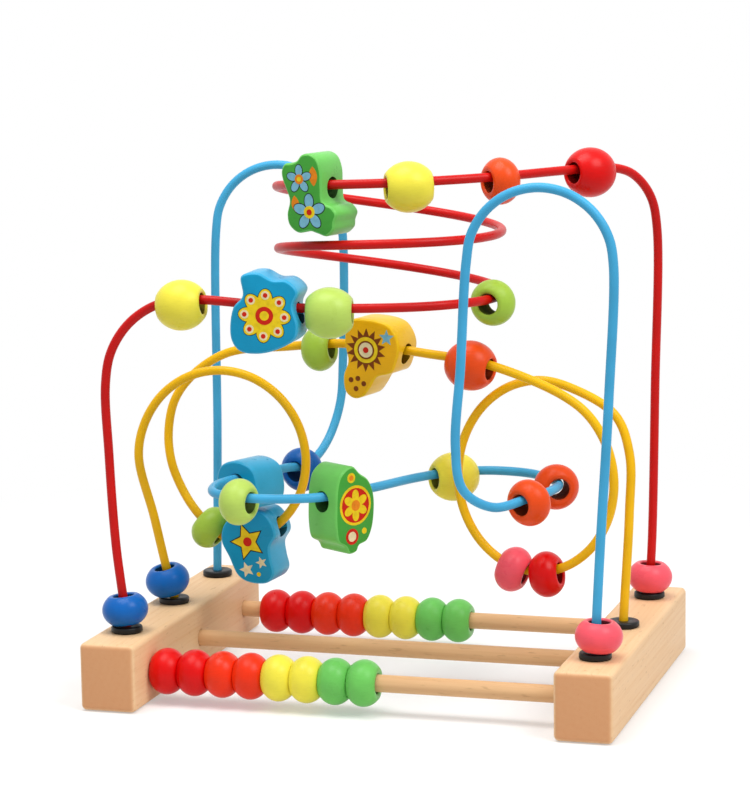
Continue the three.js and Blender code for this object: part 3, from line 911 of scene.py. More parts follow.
class BentWire:
    """A wire along a route: a smooth line, and the faceted one that the solids hang on."""

    SAMPLES = 12
    TURN = 13.0
    STEP = 45.0
    NUDGE = 1e-4

    def __init__(self, route: WireRoute) -> None:
        """Measures the wire.

        Args:
            route: The points that it passes through.
        """
        self.points = np.array(route.points, float)
        self.marks = route.marks
        count = (len(self.points) - 1) * self.SAMPLES
        self.line = np.array([self.curve(i / count) for i in range(count + 1)])
        steps = np.linalg.norm(np.diff(self.line, axis=0), axis=1)
        self.lengths = np.concatenate([[0.0], np.cumsum(steps)])
        self.length = float(self.lengths[-1])
        self.stations = self.find_stations()
        self.rings = np.array([self.at(share) for share in self.stations])

    def curve(self, share: float) -> np.ndarray:
        """Gives a point of the wire's spline.

        Args:
            share: The share of the route's points passed, from 0 to 1.

        Returns:
            The point in millimetres.
        """
        pts = self.points
        last = len(pts) - 1
        place = min(int(share * last), last - 1)
        before = pts[place - 1] if place > 0 else 2 * pts[0] - pts[1]
        after = pts[place + 2] if place + 2 <= last else 2 * pts[last] - pts[last - 1]
        return spline(before, pts[place], pts[place + 1], after, share * last - place)

    def at(self, share: float) -> np.ndarray:
        """Gives the point at a share of the wire's length.

        Args:
            share: The share, from 0 to 1.

        Returns:
            The point in millimetres.
        """
        target = share * self.length
        k = int(np.clip(np.searchsorted(self.lengths, target, "right") - 1, 0, len(self.lengths) - 2))
        part = (target - self.lengths[k]) / (self.lengths[k + 1] - self.lengths[k])
        return self.curve((k + part) / (len(self.lengths) - 1))

    def direction(self, share: float) -> np.ndarray:
        """Gives the wire's direction at a share of its length."""
        return unit(self.at(min(share + self.NUDGE, 1.0)) - self.at(max(share - self.NUDGE, 0.0)))

    def find_stations(self) -> list[float]:
        """Finds the shares of the length at which the solid wire has a ring.

        Returns:
            The shares, from 0 to 1.
        """
        fixed = {self.marks[side.foot] * self.SAMPLES for side in Side}
        fixed.add(len(self.lengths) - 1)
        stations = [0.0]
        last, travelled = self.direction(0.0), 0.0
        for i, distance in enumerate(self.lengths):
            way = self.direction(distance / self.length)
            turned = math.degrees(math.acos(float(np.clip(way @ last, -1, 1))))
            if turned > self.TURN or distance - travelled > self.STEP or i in fixed:
                stations.append(distance / self.length)
                last, travelled = way, distance
        return stations

    def share_past(self, mark: str, distance: float) -> float:
        """Gives the share of the length a distance past a mark, in millimetres."""
        return (self.lengths[self.marks[mark] * self.SAMPLES] + distance) / self.length

    def past(self, mark: str, distance: float) -> np.ndarray:
        """Gives the middle of the faceted wire a distance past a mark.

        Args:
            mark: The marked point of the route.
            distance: The distance past it, in millimetres.

        Returns:
            The point in millimetres.
        """
        share = self.share_past(mark, distance)
        k = int(np.searchsorted(self.stations, share))
        before, after = self.stations[k - 1], self.stations[k]
        part = (share - before) / (after - before)
        return self.rings[k - 1] + (self.rings[k] - self.rings[k - 1]) * part

    def stretch(self, mark: str, start: float, end: float) -> list[np.ndarray]:
        """Gives the faceted wire's middle line between two distances past a mark.

        Args:
            mark: The marked point of the route.
            start: The distance past it of the first end, in millimetres.
            end: The distance past it of the last end, in millimetres.

        Returns:
            Both ends and every corner between them.
        """
        first, last = self.share_past(mark, start), self.share_past(mark, end)
        corners = [ring for ring, share in zip(self.rings, self.stations) if first < share < last]
        return [self.past(mark, start), *corners, self.past(mark, end)]

    def tube(self, name: str, step: float = 2.5, sides: int = 24) -> Mesh:
        """Makes the smooth wire.

        Args:
            name: The mesh's name.
            step: The distance between its rings in millimetres.
            sides: The number of its sides.

        Returns:
            The mesh, in metres.
        """
        count = round(self.length / step)
        radius = BASE.wire_diameter / 2
        normal = np.cross(self.direction(0.0), BACKWARD)
        points: list[np.ndarray] = []
        for i in range(count + 1):
            middle, way = self.at(i / count), self.direction(i / count)
            normal = unit(normal - way * float(normal @ way))
            other = np.cross(way, normal)
            for angle in round_angles(sides):
                points.append(middle + radius * (math.cos(angle) * normal + math.sin(angle) * other))
        return mesh_from(name, np.array(points), bridge(count + 1, sides))


@dataclass
class RedWire:
    """The red wire: left post, shoulder, level run, flat coil, top run and right post."""

    left_post: Corners = ((4.8, 82), (7.2, 130))
    lean: float = 8
    shoulder: float = 45
    shoulder_drift: float = 2
    run_height: float = 211
    run_sag: float = 3.4
    run_end: Pair = (-30, -65)
    coil_x: float = 1
    coil_radius: float = 58.5
    coil_pitch: float = 32.4
    coil_height: float = 202.8
    coil_rise_to_left: float = 3
    coil_rise_to_front: float = 4.2
    coil_span: float = 652.5
    top_height: float = 269.725
    top_run: Corners = ((-25, -52, -1), (20, -44, 0), (62, -14, 1), (92, 22, 2))
    end_shoulder: float = 34
    end_angles: tuple[float, ...] = (90, 60, 30, 0)
    end_turn: float = 53
    end_lean: float = 4
    right_post: Corners = ((3, 150), (1.5, 70))

    def coil_point(self, turned: float) -> Triple:
        """Gives a point of the coil, which starts at its front.

        Args:
            turned: The angle turned so far, in degrees.

        Returns:
            The point in millimetres.
        """
        angle = math.radians(turned - 90)
        drop = self.coil_rise_to_left * math.cos(angle) + self.coil_rise_to_front * math.sin(angle)
        return (
            self.coil_x + self.coil_radius * math.cos(angle),
            self.coil_radius * math.sin(angle),
            self.coil_height + self.coil_pitch * turned / 360 - drop,
        )

    def bend(self) -> BentWire:
        """Bends the wire.

        Returns:
            The bent wire.
        """
        start, end = (Side.LEFT, Row.FRONT), (Side.RIGHT, Row.BACK)
        route = WireRoute().foot(*start).post(*start, self.left_post)
        x = Side.LEFT.post_x - self.lean + self.shoulder
        centre = (x, Row.FRONT.wire_y, self.run_height - self.shoulder)
        route.bow(centre, self.shoulder, self.shoulder, 180, 90, "shoulder", drift=self.shoulder_drift)
        route.to(*self.run_end, self.run_height - self.run_sag, "run")
        for k in range(1, int(self.coil_span / WireRoute.BOW_STEP) + 1):
            turned = k * WireRoute.BOW_STEP
            route.to(*self.coil_point(turned), f"coil{turned:g}")
        route.through(self.top_run, "top", self.top_height)
        low = self.top_height + self.top_run[-1][2] - self.end_shoulder
        turn = math.radians(self.end_turn)
        for angle in map(math.radians, self.end_angles):
            inset = self.end_shoulder * (1 - math.cos(angle))
            x = Side.RIGHT.post_x + self.end_lean - inset * math.cos(turn)
            y = Row.BACK.wire_y - inset * math.sin(turn)
            route.to(x, y, low + self.end_shoulder * math.sin(angle))
        return BentWire(route.post(*end, self.right_post).foot(*end))


@dataclass
class BlueWire:
    """The blue wire: back arch, level wave and front arch."""

    arch_radius: float = 37
    arch_height: float = 270
    back_arch_x: float = -84
    front_arch_x: float = 97.5
    left_post: Corners = ((-2, 120),)
    wave_height: float = 110
    drop: Corners = ((-48, 70, 50), (-49, 67, 28), (-53, 55, 8.5), (-58, 36, -1.2))
    wave: Corners = (
        (-64, 14), (-76, -12), (-83.5, -40), (-77, -63), (-59, -72), (-36, -71), (-17, -60), (-1, -31),
        (14, 2), (28, 21), (48, 30), (72, 24), (89, 6, -1), (90, -14, -1.2), (83, -36, -1.5),
    )
    rise: Corners = ((69, -55, -3), (57, -68, 8), (54, -70, 30), (57, -70, 70))
    right_post: Corners = ((7, 165), (2.5, 90))

    def bend(self) -> BentWire:
        """Bends the wire.

        Returns:
            The bent wire.
        """
        start, end = (Side.LEFT, Row.BACK), (Side.RIGHT, Row.FRONT)
        radius, low = self.arch_radius, self.arch_height - self.arch_radius
        route = WireRoute().foot(*start).post(*start, self.left_post)
        route.bow((self.back_arch_x, Row.BACK.wire_y, low), radius, radius, 180, 0, "backArch")
        route.through(self.drop, "drop", self.wave_height)
        route.through(self.wave, "wave", self.wave_height)
        route.through(self.rise, "rise", self.wave_height)
        route.bow((self.front_arch_x, Row.FRONT.wire_y, low), radius, radius, 180, 0, "frontArch")
        return BentWire(route.post(*end, self.right_post).foot(*end))


@dataclass
class YellowWire:
    """The yellow wire: left loop, hump and right loop between two posts."""

    left_post: Corners = ((3.2, 57), (7.6, 85))
    left_loop: Triple = (-92, -15, 119)
    left_radius: float = 45.5
    left_stretch: float = 1.5
    left_drift: float = 17
    left_arc: Pair = (180, -90)
    climb: Corners = (
        (-104, 3, 78.5), (-113, 4, 87), (-121, 6, 98), (-127, 7, 112),
        (-129, 8.5, 128), (-125.5, 10, 146), (-115, 11, 160), (-95, 12, 172.5),
    )
    hump: Corners = ((-60, 11, 177), (-24, 6, 180), (20, -2, 177), (57, -11, 173))
    right_loop: Triple = (79, -14, 113.25)
    right_radius: float = 43
    right_stretch: float = 6.75
    right_drift: float = 23
    right_arc: Pair = (67.5, -292.5)
    fall: Corners = ((119, 8, 145.75), (127, 6, 125.75), (127.5, 3, 95.25))

    def bend(self) -> BentWire:
        """Bends the wire.

        Returns:
            The bent wire.
        """
        route = WireRoute().foot(Side.LEFT, Row.MIDDLE)
        for lean, z in self.left_post:
            route.to(Side.LEFT.post_x - lean, -lean, z)
        height = self.left_radius + self.left_stretch
        route.bow(self.left_loop, self.left_radius, height, *self.left_arc, "leftLoop", self.left_drift)
        route.through(self.climb, "climb").through(self.hump, "hump")
        height = self.right_radius + self.right_stretch
        route.bow(self.right_loop, self.right_radius, height, *self.right_arc, "rightLoop", self.right_drift)
        return BentWire(route.through(self.fall, "fall").foot(Side.RIGHT, Row.MIDDLE))


# Base


@dataclass
class Base:
    """Two end blocks, three rods and six ferrules."""

    workshop: Workshop
    round_segments: int = 5
    overcut: float = 5
    rod_ease: float = 0.6
    rod_steps: int = 24
    ferrule_ease: float = 0.4
    ferrule_mouth: Pair = (0.3, 0.5)
    crown_steps: int = 6

    def build(self) -> None:
        """Builds every fixed piece of the base."""
        for side in Side:
            self.add_block(side)
        for row in Row:
            self.add_rod(row)
        for side in Side:
            for row in Row:
                self.add_ferrule(side, row)

    def add_block(self, side: Side) -> None:
        """Builds one end block with rounded edges and its blind holes.

        Args:
            side: The end of the base.
        """
        name = f"{side.word}_block"
        shape = bmesh.new()
        size = Matrix.Diagonal((BASE.block_width * MM, BASE.block_depth * MM, BASE.block_height * MM, 1))
        place = Matrix.Translation((side.post_x * MM, 0, BASE.block_height / 2 * MM))
        bmesh.ops.create_cube(shape, size=1.0, matrix=place @ size)
        bmesh.ops.bevel(shape, geom=list(shape.edges), offset=BASE.block_edge * MM,
                        segments=self.round_segments, profile=0.5, affect="EDGES")
        mesh = bpy.data.meshes.new(name)
        shape.to_mesh(mesh)
        shape.free()
        cutters = []
        for row in Row:
            cutters += [self.wire_hole(side, row), self.rod_hole(side, row)]
        self.workshop.piece(f"{name}_wood", cut(mesh, cutters, name), Finish.BEECH, "frame", name)

    def wire_hole(self, side: Side, row: Row) -> Mesh:
        """Makes the cutter of one wire's hole in the top of a block.

        Args:
            side: The end of the base.
            row: The wire's row.

        Returns:
            The cutter.
        """
        x, y = side.post_x, row.wire_y
        floor = BASE.block_height - BASE.wire_seat - BASE.seat_gap
        above = BASE.block_height + self.overcut
        return cylinder(BASE.wire_diameter + 2 * BASE.seat_gap, Vector((x, y, floor)), Vector((x, y, above)))

    def rod_hole(self, side: Side, row: Row) -> Mesh:
        """Makes the cutter of one rod's hole in the inner face of a block.

        Args:
            side: The end of the base.
            row: The rod's row.

        Returns:
            The cutter.
        """
        y, z = row.rod_y, BASE.rod_height
        deep = side.value * (BASE.inner_x + BASE.rod_seat + BASE.seat_gap)
        near = side.value * (BASE.inner_x - self.overcut)
        return cylinder(BASE.rod_diameter + 2 * BASE.seat_gap, Vector((deep, y, z)), Vector((near, y, z)))

    def add_rod(self, row: Row) -> None:
        """Builds one rod with eased ends.

        Args:
            row: Its row.
        """
        name = f"{row.word}_rod"
        half, radius = BASE.inner_x + BASE.rod_seat, BASE.rod_diameter / 2
        straight, end = half - self.rod_ease, radius - self.rod_ease
        stations = np.linspace(-straight, straight, self.rod_steps + 1)
        points, faces = lathe_solid([(-half, end), *((x, radius) for x in stations), (half, end)])
        points = points + np.array((0, row.rod_y, BASE.rod_height))
        self.workshop.piece(f"{name}_dowel", mesh_from(name, points, faces), Finish.ROD_WOOD, "frame", name)

    def add_ferrule(self, side: Side, row: Row) -> None:
        """Builds one ferrule with a rounded crown.

        Args:
            side: The end of the base.
            row: Its row.
        """
        name = f"{side.word}_{row.word}_ferrule"
        bore, rim = BASE.wire_diameter / 2 + BASE.seat_gap, BASE.ferrule_diameter / 2
        top, crown = BASE.ferrule_height, BASE.ferrule_crown
        profile = [(0.0, bore), (0.0, rim - self.ferrule_ease), (self.ferrule_ease, rim)]
        for angle in quarter_angles(self.crown_steps):
            profile.append((top - crown + crown * math.sin(angle), rim - crown + crown * math.cos(angle)))
        depth, flare = self.ferrule_mouth
        profile += [(top, bore + flare), (top - depth, bore)]
        points, faces = lathe(profile)
        points = np.stack([points[:, 1], points[:, 2], points[:, 0]], 1)
        points = points + np.array((side.post_x, row.wire_y, BASE.ferrule_base))
        self.workshop.piece(f"{name}_ring", mesh_from(name, points, faces), Finish.BLACK, "frame", name)


# Pieces on the wires


def frame_matrix(x: np.ndarray, y: np.ndarray, z: np.ndarray, origin: np.ndarray) -> Matrix:
    """Makes a matrix from three axes and an origin."""
    rows = [(x[i], y[i], z[i], origin[i]) for i in range(3)]
    return Matrix((*rows, (0, 0, 0, 1)))


def placed(points: np.ndarray, place: Matrix) -> np.ndarray:
    """Moves points in millimetres to a place."""
    turn = np.array(place)
    return points @ turn[:3, :3].T + turn[:3, 3]


def hang_on(wire: BentWire, mark: str, distance: float, reach: Pair, rise: float = 0.0) -> Matrix:
    """Finds how a piece hangs from a wire by the top of its bore.

    Args:
        wire: The wire that carries it.
        mark: The marked point that its place is measured from.
        distance: The distance from the mark to the piece's origin, in millimetres.
        reach: Where its bore starts and ends, from its origin.
        rise: How far above its lowest place it sits.

    Returns:
        The piece's place, with local X along the wire and local Z up, in millimetres.
    """
    middle = wire.past(mark, distance)
    inside = wire.stretch(mark, distance + reach[0], distance + reach[1])
    along = unit(inside[-1] - inside[0])
    across = unit(np.cross(UP, along))
    lift = np.cross(along, across)
    sides = [float((p - middle) @ across) for p in inside]
    heights = [float((p - middle) @ lift) for p in inside]
    shift = (max(sides) + min(sides)) / 2
    drop = max(h - math.sqrt(HANG_PLAY**2 - (s - shift) ** 2) for h, s in zip(heights, sides))
    return frame_matrix(along, across, lift, middle + across * shift + lift * (drop + rise))


def stand_on_foot(wire: BentWire, side: Side, shift: float) -> Matrix:
    """Finds how a bead rests on the ferrule at the foot of a wire.

    Args:
        wire: The wire that carries it.
        side: The end of the base that the foot is at.
        shift: How far the bead lies to one side of its bore, from -1 at the left to 1.

    Returns:
        The bead's place, with local X up along the wire, in millimetres.
    """
    foot = wire.past(side.foot, 0.0)
    along = unit(wire.past(side.foot, -side.value * RING_BEAD.length) - foot)
    dip = math.hypot(along[0], along[1]) * (RING_BEAD.bore / 2 + RING_BEAD.lip)
    middle = foot + along * (RING_BEAD.length / 2 + dip) + np.array((shift * HANG_PLAY, 0, 0))
    across = unit(np.cross(along, BACKWARD))
    return frame_matrix(along, across, np.cross(along, across), middle)


@dataclass
class TurnedBeads:
    """Beads turned on a lathe, with a rounded bore mouth and a full barrel."""

    workshop: Workshop
    mouth: float = 0.9
    shave: float = 0.24
    mouth_steps: int = 4
    barrel_steps: int = 24
    sharp: float = 70.0

    def profile(self, form: BeadForm) -> Points:
        """Draws a bead's closed profile.

        Args:
            form: The bead's sizes.

        Returns:
            Pairs of place along the bore and radius.
        """
        half, bore, radius = form.length / 2, form.bore / 2, form.diameter / 2 - self.shave
        lip_angle = math.acos((bore + form.lip) / radius)
        outline: Points = []
        for angle in quarter_angles(self.mouth_steps):
            inset = self.mouth * (1 - math.sin(angle))
            outline.append((-half + inset, bore + self.mouth * (1 - math.cos(angle))))
        for k in range(self.barrel_steps + 1):
            angle = lip_angle * (2 * k / self.barrel_steps - 1)
            outline.append((half * math.sin(angle) / math.sin(lip_angle), radius * math.cos(angle)))
        outline += [(-x, r) for x, r in reversed(outline[: self.mouth_steps + 1])]
        return outline

    def add(self, node: str, form: BeadForm, place: Matrix, finish: Finish) -> None:
        """Builds one bead.

        Args:
            node: The solid and the body that it stands for.
            form: Its sizes.
            place: Where it is, with its bore along local X.
            finish: Its paint.
        """
        profile = self.profile(form)
        points, faces = lathe(profile)
        mesh = mesh_from(node, placed(points, place), faces, self.sharp)
        # The last face of each turn of the profile closes it and is the wall of the bore.
        parts = [Part.SIDE if (k + 1) % len(profile) else Part.BORE for k in range(len(faces))]
        self.workshop.dress(mesh, parts, finish)
        self.workshop.piece(f"{node}_turned", mesh, finish, node, node)


RIM_SAMPLES = 20


class Outline(Enum):
    """Outlines of the shaped blocks seen from the front, with the bore along X through the origin."""

    WINGS = (
        (-14, 17.5), (-5.5, 20), (2.7, 17), (9.8, 17.2), (16, 12), (14, 4.5), (17, -5.5),
        (16, -12), (6.5, -18.6), (-4.4, -21.6), (-13.2, -20.6), (-17.8, -14.5), (-17.4, 1), (-12.8, 7.5),
    )
    TALL = (
        (-15, 9.5), (-12.8, 13.2), (-8.6, 13.6), (-5.6, 14.6), (-2.8, 17.4), (2, 18), (6.2, 15.6),
        (8.5, 9.5), (8.5, 1), (9, -6.7), (13.8, -9.2), (16.3, -13), (14.8, -17), (14.2, -20.5), (9.5, -24),
        (4.5, -22.6), (0, -21.3), (-7, -22), (-12, -18), (-13, -12.5), (-11.2, -5.5), (-12.8, 0), (-14.6, 5),
    )
    SHELL = (
        (-12.7, 7.5), (-10.4, 14), (-5.2, 18), (-1, 18.3), (3.4, 14.3), (9.2, 10),
        (12.6, 2), (12.6, -8.5), (10.8, -16.5), (7.4, -21.8), (2.3, -23.5), (0.5, -26.4),
        (-4.8, -27), (-7.2, -23.2), (-12, -20), (-13.6, -12), (-13.5, -2),
    )
    COMB = (
        (-13.5, 16.5), (-2, 18.4), (11, 15.4), (16.5, 6), (15, -3.5), (12.2, -9.2), (3.5, -12.5),
        (0, -18), (-4, -23), (-9.5, -24.6), (-14.5, -21.5), (-16, -13), (-13.5, -5), (-15.5, 5),
    )
    PEAR = (
        (-15.3, 10.8), (-4.5, 15.2), (8.5, 12), (14, 4), (13.2, -6), (12, -17), (7.5, -22.3),
        (-3, -26), (-8.7, -22.8), (-10.2, -15), (-12, -8.5), (-17.6, -3.5), (-18.4, 2.5),
    )
    ARCH = (
        (-14.5, 0), (-11.2, 8.7), (0, 12.2), (11.2, 8.7), (14.5, 0),
        (14, -8), (9.5, -13), (-9.5, -13), (-14, -8),
    )

    def rim(self, count: int) -> np.ndarray:
        """Draws the outline as a smooth closed line.

        Args:
            count: The number of points wanted.

        Returns:
            The points, one row each, in millimetres.
        """
        corners = np.array(self.value, float)
        size = len(corners)
        dense = []
        for i in range(size):
            four = [corners[(i + k - 1) % size] for k in range(4)]
            dense += [spline(*four, k / RIM_SAMPLES) for k in range(RIM_SAMPLES)]
        line = np.array([*dense, dense[0]])
        lengths = np.concatenate([[0.0], np.cumsum(np.linalg.norm(np.diff(line, axis=0), axis=1))])
        wanted = np.linspace(0, lengths[-1], count + 1)[:-1]
        return np.stack([np.interp(wanted, lengths, line[:, k]) for k in range(2)], 1)


# Prints

OVAL_SIDES = 28
LEAF_STEPS = 10
LEAF_FULLNESS = 0.8

# A flower's sizes as shares of its radius.
PETAL_REACH = 0.6
PETAL_SIZE = (0.4, 0.27)
HEART_SIZE = 0.34


@dataclass(frozen=True)
class Spot:
    """One flat shape of a print: its outline points, its ink and its layer."""

    points: Corners
    ink: Ink
    layer: int


def place_spot(ring: Points, middle: Pair, ink: Ink, layer: int, turn: float = 0.0) -> Spot:
    """Turns a ring of points and moves it to its place on a face.

    Args:
        ring: The points about the origin.
        middle: Where the origin goes, across the face and up it.
        ink: The ink.
        layer: The layer in the print.
        turn: The turn in degrees.

    Returns:
        The spot.
    """
    u, v = middle
    c, s = math.cos(math.radians(turn)), math.sin(math.radians(turn))
    return Spot(tuple((u + c * x - s * y, v + s * x + c * y) for x, y in ring), ink, layer)


def around(middle: Pair, radius: float, count: int) -> list[Pair]:
    """Gives points spaced evenly round a middle, from the top."""
    turns = [math.pi / 2 + angle for angle in round_angles(count)]
    return [(middle[0] + radius * math.cos(a), middle[1] + radius * math.sin(a)) for a in turns]


def oval(middle: Pair, width: float, height: float, ink: Ink, layer: int, turn: float = 0.0) -> Spot:
    """Draws an oval of half a width and half a height, turned by an angle in degrees."""
    ring = [(width * math.cos(a), height * math.sin(a)) for a in round_angles(OVAL_SIDES)]
    return place_spot(ring, middle, ink, layer, turn)


def disc(middle: Pair, radius: float, ink: Ink, layer: int = 0) -> Spot:
    """Draws a disc."""
    return oval(middle, radius, radius, ink, layer)


def leaf(stalk: Pair, length: float, width: float, turn: float, ink: Ink) -> Spot:
    """Draws a pointed leaf that grows from its stalk.

    Args:
        stalk: Its stalk, across the face and up it.
        length: Its length.
        width: Half its width.
        turn: The direction that it grows in, in degrees.
        ink: Its ink.

    Returns:
        The spot.
    """
    shares = [k / LEAF_STEPS for k in range(LEAF_STEPS + 1)]
    side = [(length * t, width * math.sin(math.pi * t) ** LEAF_FULLNESS) for t in shares]
    return place_spot(side + [(x, -y) for x, y in reversed(side[1:-1])], stalk, ink, 0, turn)


def star(middle: Pair, outer: float, inner: float, points: int, ink: Ink, layer: int = 0) -> Spot:
    """Draws a star.

    Args:
        middle: Its middle, across the face and up it.
        outer: The radius of its points.
        inner: The radius between them.
        points: The number of its points.
        ink: Its ink.
        layer: Its layer in the print.

    Returns:
        The spot.
    """
    tips, dents = (around((0.0, 0.0), radius, 2 * points) for radius in (outer, inner))
    ring = [dents[k] if k % 2 else tips[k] for k in range(2 * points)]
    return place_spot(ring, middle, ink, layer)


def flower(middle: Pair, radius: float, petals: int, petal: Ink, heart: Ink, layer: int = 0,
           rim: float = 0.0) -> list[Spot]:
    """Draws a flower of round petals.

    Args:
        middle: Its middle, across the face and up it.
        radius: Its radius.
        petals: The number of its petals.
        petal: The ink of its petals.
        heart: The ink of its middle.
        layer: Its lowest layer in the print.
        rim: The width of the dark line round its petals.

    Returns:
        Its spots.
    """
    length, width = (share * radius for share in PETAL_SIZE)
    spots = []
    for k, place in enumerate(around(middle, PETAL_REACH * radius, petals)):
        turn = 90 + 360 * k / petals
        if rim:
            spots.append(oval(place, length + rim, width + rim, Ink.DARK, layer, turn))
        spots.append(oval(place, length, width, petal, layer + 1 + k % 2, turn))
    return [*spots, disc(middle, HEART_SIZE * radius, heart, layer + 3)]


class Print(Enum):
    """The prints on the shaped blocks: flowers, leaves, stars and dots."""

    DAISY = (
        *flower((-0.5, -1.5), 13.6, 8, Ink.YELLOW, Ink.RED, rim=0.35),
        *(disc(tip, 2.2, Ink.CREAM, 3) for tip in around((-0.5, -1.5), 10.4, 8)),
        *(disc(tip, 1.2, Ink.RED, 4) for tip in around((-0.5, -1.5), 10.4, 8)),
        disc((-0.5, -1.5), 2.4, Ink.YELLOW, 4),
    )
    BELLS = (
        leaf((4.2, 1.5), 10, 2.4, 92, Ink.ORANGE),
        leaf((-7.6, -3), 8.5, 2.2, -85, Ink.ORANGE),
        *flower((0.8, -11.5), 9.2, 5, Ink.PALE_BLUE, Ink.YELLOW, rim=0.45),
        *flower((-4.2, 5.2), 7.2, 5, Ink.PALE_BLUE, Ink.ORANGE, rim=0.4),
        disc((0.8, -11.5), 1.5, Ink.RED, 4),
        disc((-4.2, 5.2), 1.2, Ink.YELLOW, 4),
    )
    SUN = (
        star((-2.5, 2), 11.6, 7.6, 14, Ink.BROWN),
        disc((-2.5, 2), 6.9, Ink.YELLOW, 1),
        disc((-2.5, 2), 4.9, Ink.BROWN, 2),
        disc((-2.5, 2), 4.0, Ink.CREAM, 3),
        disc((-2.5, 2), 1.6, Ink.RED, 4),
        star((9.3, 9.3), 4.4, 1.9, 5, Ink.PALE_BLUE),
        *(disc(dot, 1.4, Ink.BROWN) for dot in ((-11, -14.5), (-8, -19), (-3.5, -16), (-7, -13.5))),
    )
    ROSETTE = (
        disc((-0.5, -2), 10.4, Ink.YELLOW),
        disc((-0.5, -2), 9.0, Ink.RED, 1),
        *flower((-0.5, -2), 8.2, 6, Ink.YELLOW, Ink.ORANGE, layer=1),
        disc((-3, -18), 4.2, Ink.RED),
        disc((-3, -18), 2.6, Ink.CREAM, 1),
        disc((5.2, -16), 1.6, Ink.YELLOW),
        disc((-3, 12.5), 2.6, Ink.YELLOW),
        disc((-3, 12.5), 1.4, Ink.ORANGE, 1),
    )
    NIGHT = (
        star((-1, -1.5), 10.8, 5.3, 5, Ink.DARK),
        star((-1, -1.5), 9.6, 4.6, 5, Ink.YELLOW, 1),
        disc((-1, -1.5), 2.5, Ink.RED, 2),
        star((5.2, -15.5), 4.4, 2.0, 5, Ink.CREAM),
        star((-4.4, -14.5), 3.4, 1.5, 5, Ink.CREAM),
        disc((-0.5, -20), 1.2, Ink.YELLOW),
    )


@dataclass
class ShapedBlocks:
    """Blocks sawn from a plank along an outline, with rounded edges, a bore and printed faces."""

    workshop: Workshop
    thickness: float = 23
    edge: float = 1.6
    shave: float = 0.15
    edge_steps: int = 4
    rim_points: int = 132
    bore: float = 11
    flat_cosine: float = 0.95
    wall_cosine: float = 0.5
    wall_margin: float = 0.05
    ink_depth: float = 0.07
    ink_root: float = 0.05
    ink_sharp: float = 30.0

    def blank(self, outline: Outline, along: Axis) -> tuple[np.ndarray, Faces]:
        """Saws a block with rounded edges.

        Args:
            outline: Its outline.
            along: The axis of its thickness: Y, or X where it faces along the wire.

        Returns:
            The vertices and the faces, in the block's own frame.
        """
        rim = outline.rim(self.rim_points)
        way = np.roll(rim, -1, 0) - np.roll(rim, 1, 0)
        way = way / np.linalg.norm(way, axis=1)[:, None]
        inward = np.stack([way[:, 1], -way[:, 0]], 1)
        half = self.thickness / 2
        layers: list[Pair] = []
        for angle in quarter_angles(self.edge_steps):
            layers.append((-half + self.edge * (1 - math.cos(angle)), self.edge * (1 - math.sin(angle))))
        layers += [(-y, inset) for y, inset in reversed(layers)]
        points: Points = []
        for y, inset in layers:
            for x, z in rim + inward * (inset + self.shave):
                points.append((x, y, z) if along is Axis.Y else (y, x, z))
        return np.array(points), bridge(len(layers), self.rim_points)

    def add(self, node: str, outline: Outline, wire: BentWire, mark: str, distance: float, finish: Finish,
            art: Print | None = None, along: Axis = Axis.Y, rise: float = 0.0) -> None:
        """Builds one block with its print.

        Args:
            node: The solid and the body that it stands for.
            outline: Its outline.
            wire: The wire that carries it.
            mark: The marked point that its place is measured from.
            distance: The distance past the mark.
            finish: Its paint.
            art: The print on both its faces, or None.
            along: The axis of its thickness.
            rise: How far above its lowest place it hangs, where the smooth wire lies over the faceted one.
        """
        points, faces = self.blank(outline, along)
        reach = (float(points[:, 0].min()), float(points[:, 0].max()))
        place = hang_on(wire, mark, distance, reach, rise)
        mesh = mesh_from(node, placed(points, place), faces)
        ends = [Vector(placed(np.array([(2 * x, 0.0, 0.0)]), place)[0]) for x in reach]
        mesh = cut(mesh, [cylinder(self.bore, ends[0], ends[1])], node)
        way = (ends[1] - ends[0]).normalized()
        out = place.col[along.value].to_3d()
        parts = [self.part_of(face, ends[0], way, out) for face in mesh.polygons]
        # The flat faces take a darker copy of the paint as painted shade.
        self.workshop.dress(mesh, parts, finish, SHADED_FACE_PAINTS[finish])
        self.workshop.piece(f"{node}_sawn", mesh, finish, node, node)
        if art:
            for face in Face:
                self.add_print(node, art, face, place)

    def part_of(self, face: bpy.types.MeshPolygon, start: Vector, way: Vector, out: Vector) -> Part:
        """Tells which part of a block a face belongs to.

        Args:
            face: The face, in metres.
            start: A point on the bore's axis, in millimetres.
            way: The axis's direction.
            out: The direction that the block's front and back face in.

        Returns:
            The part.
        """
        if abs(face.normal.dot(out)) > self.flat_cosine:
            return Part.FACE
        offset = face.center / MM - start
        off_axis = (offset - way * offset.dot(way)).length
        near_wall = off_axis < self.bore / 2 + self.wall_margin
        return Part.BORE if near_wall and abs(face.normal.dot(way)) < self.wall_cosine else Part.SIDE

    def add_print(self, node: str, art: Print, face: Face, place: Matrix) -> None:
        """Lays a print on one face of a block.

        Args:
            node: The block's solid and body.
            art: The print.
            face: The face that it lies on.
            place: Where the block is.
        """
        points: Points = []
        faces: Faces = []
        inks: list[Ink] = []
        half = self.thickness / 2
        for shape in art.value:
            start, sides = len(points), bridge(2, len(shape.points))
            for depth in (half - self.ink_root, half + self.ink_depth * (shape.layer + 1)):
                points += [(u, face.value * depth, v) for u, v in shape.points]
            faces += [tuple(start + corner for corner in side) for side in sides]
            inks += [shape.ink] * len(sides)
        name = f"{node}_{face.name.lower()}_print"
        mesh = mesh_from(name, placed(np.array(points), place), faces, self.ink_sharp)
        order = list(dict.fromkeys(inks))
        for ink in order:
            mesh.materials.append(self.workshop.material(ink.value))
        mesh.polygons.foreach_set("material_index", [order.index(ink) for ink in inks])
        self.workshop.piece(name, mesh, order[0], node, None)


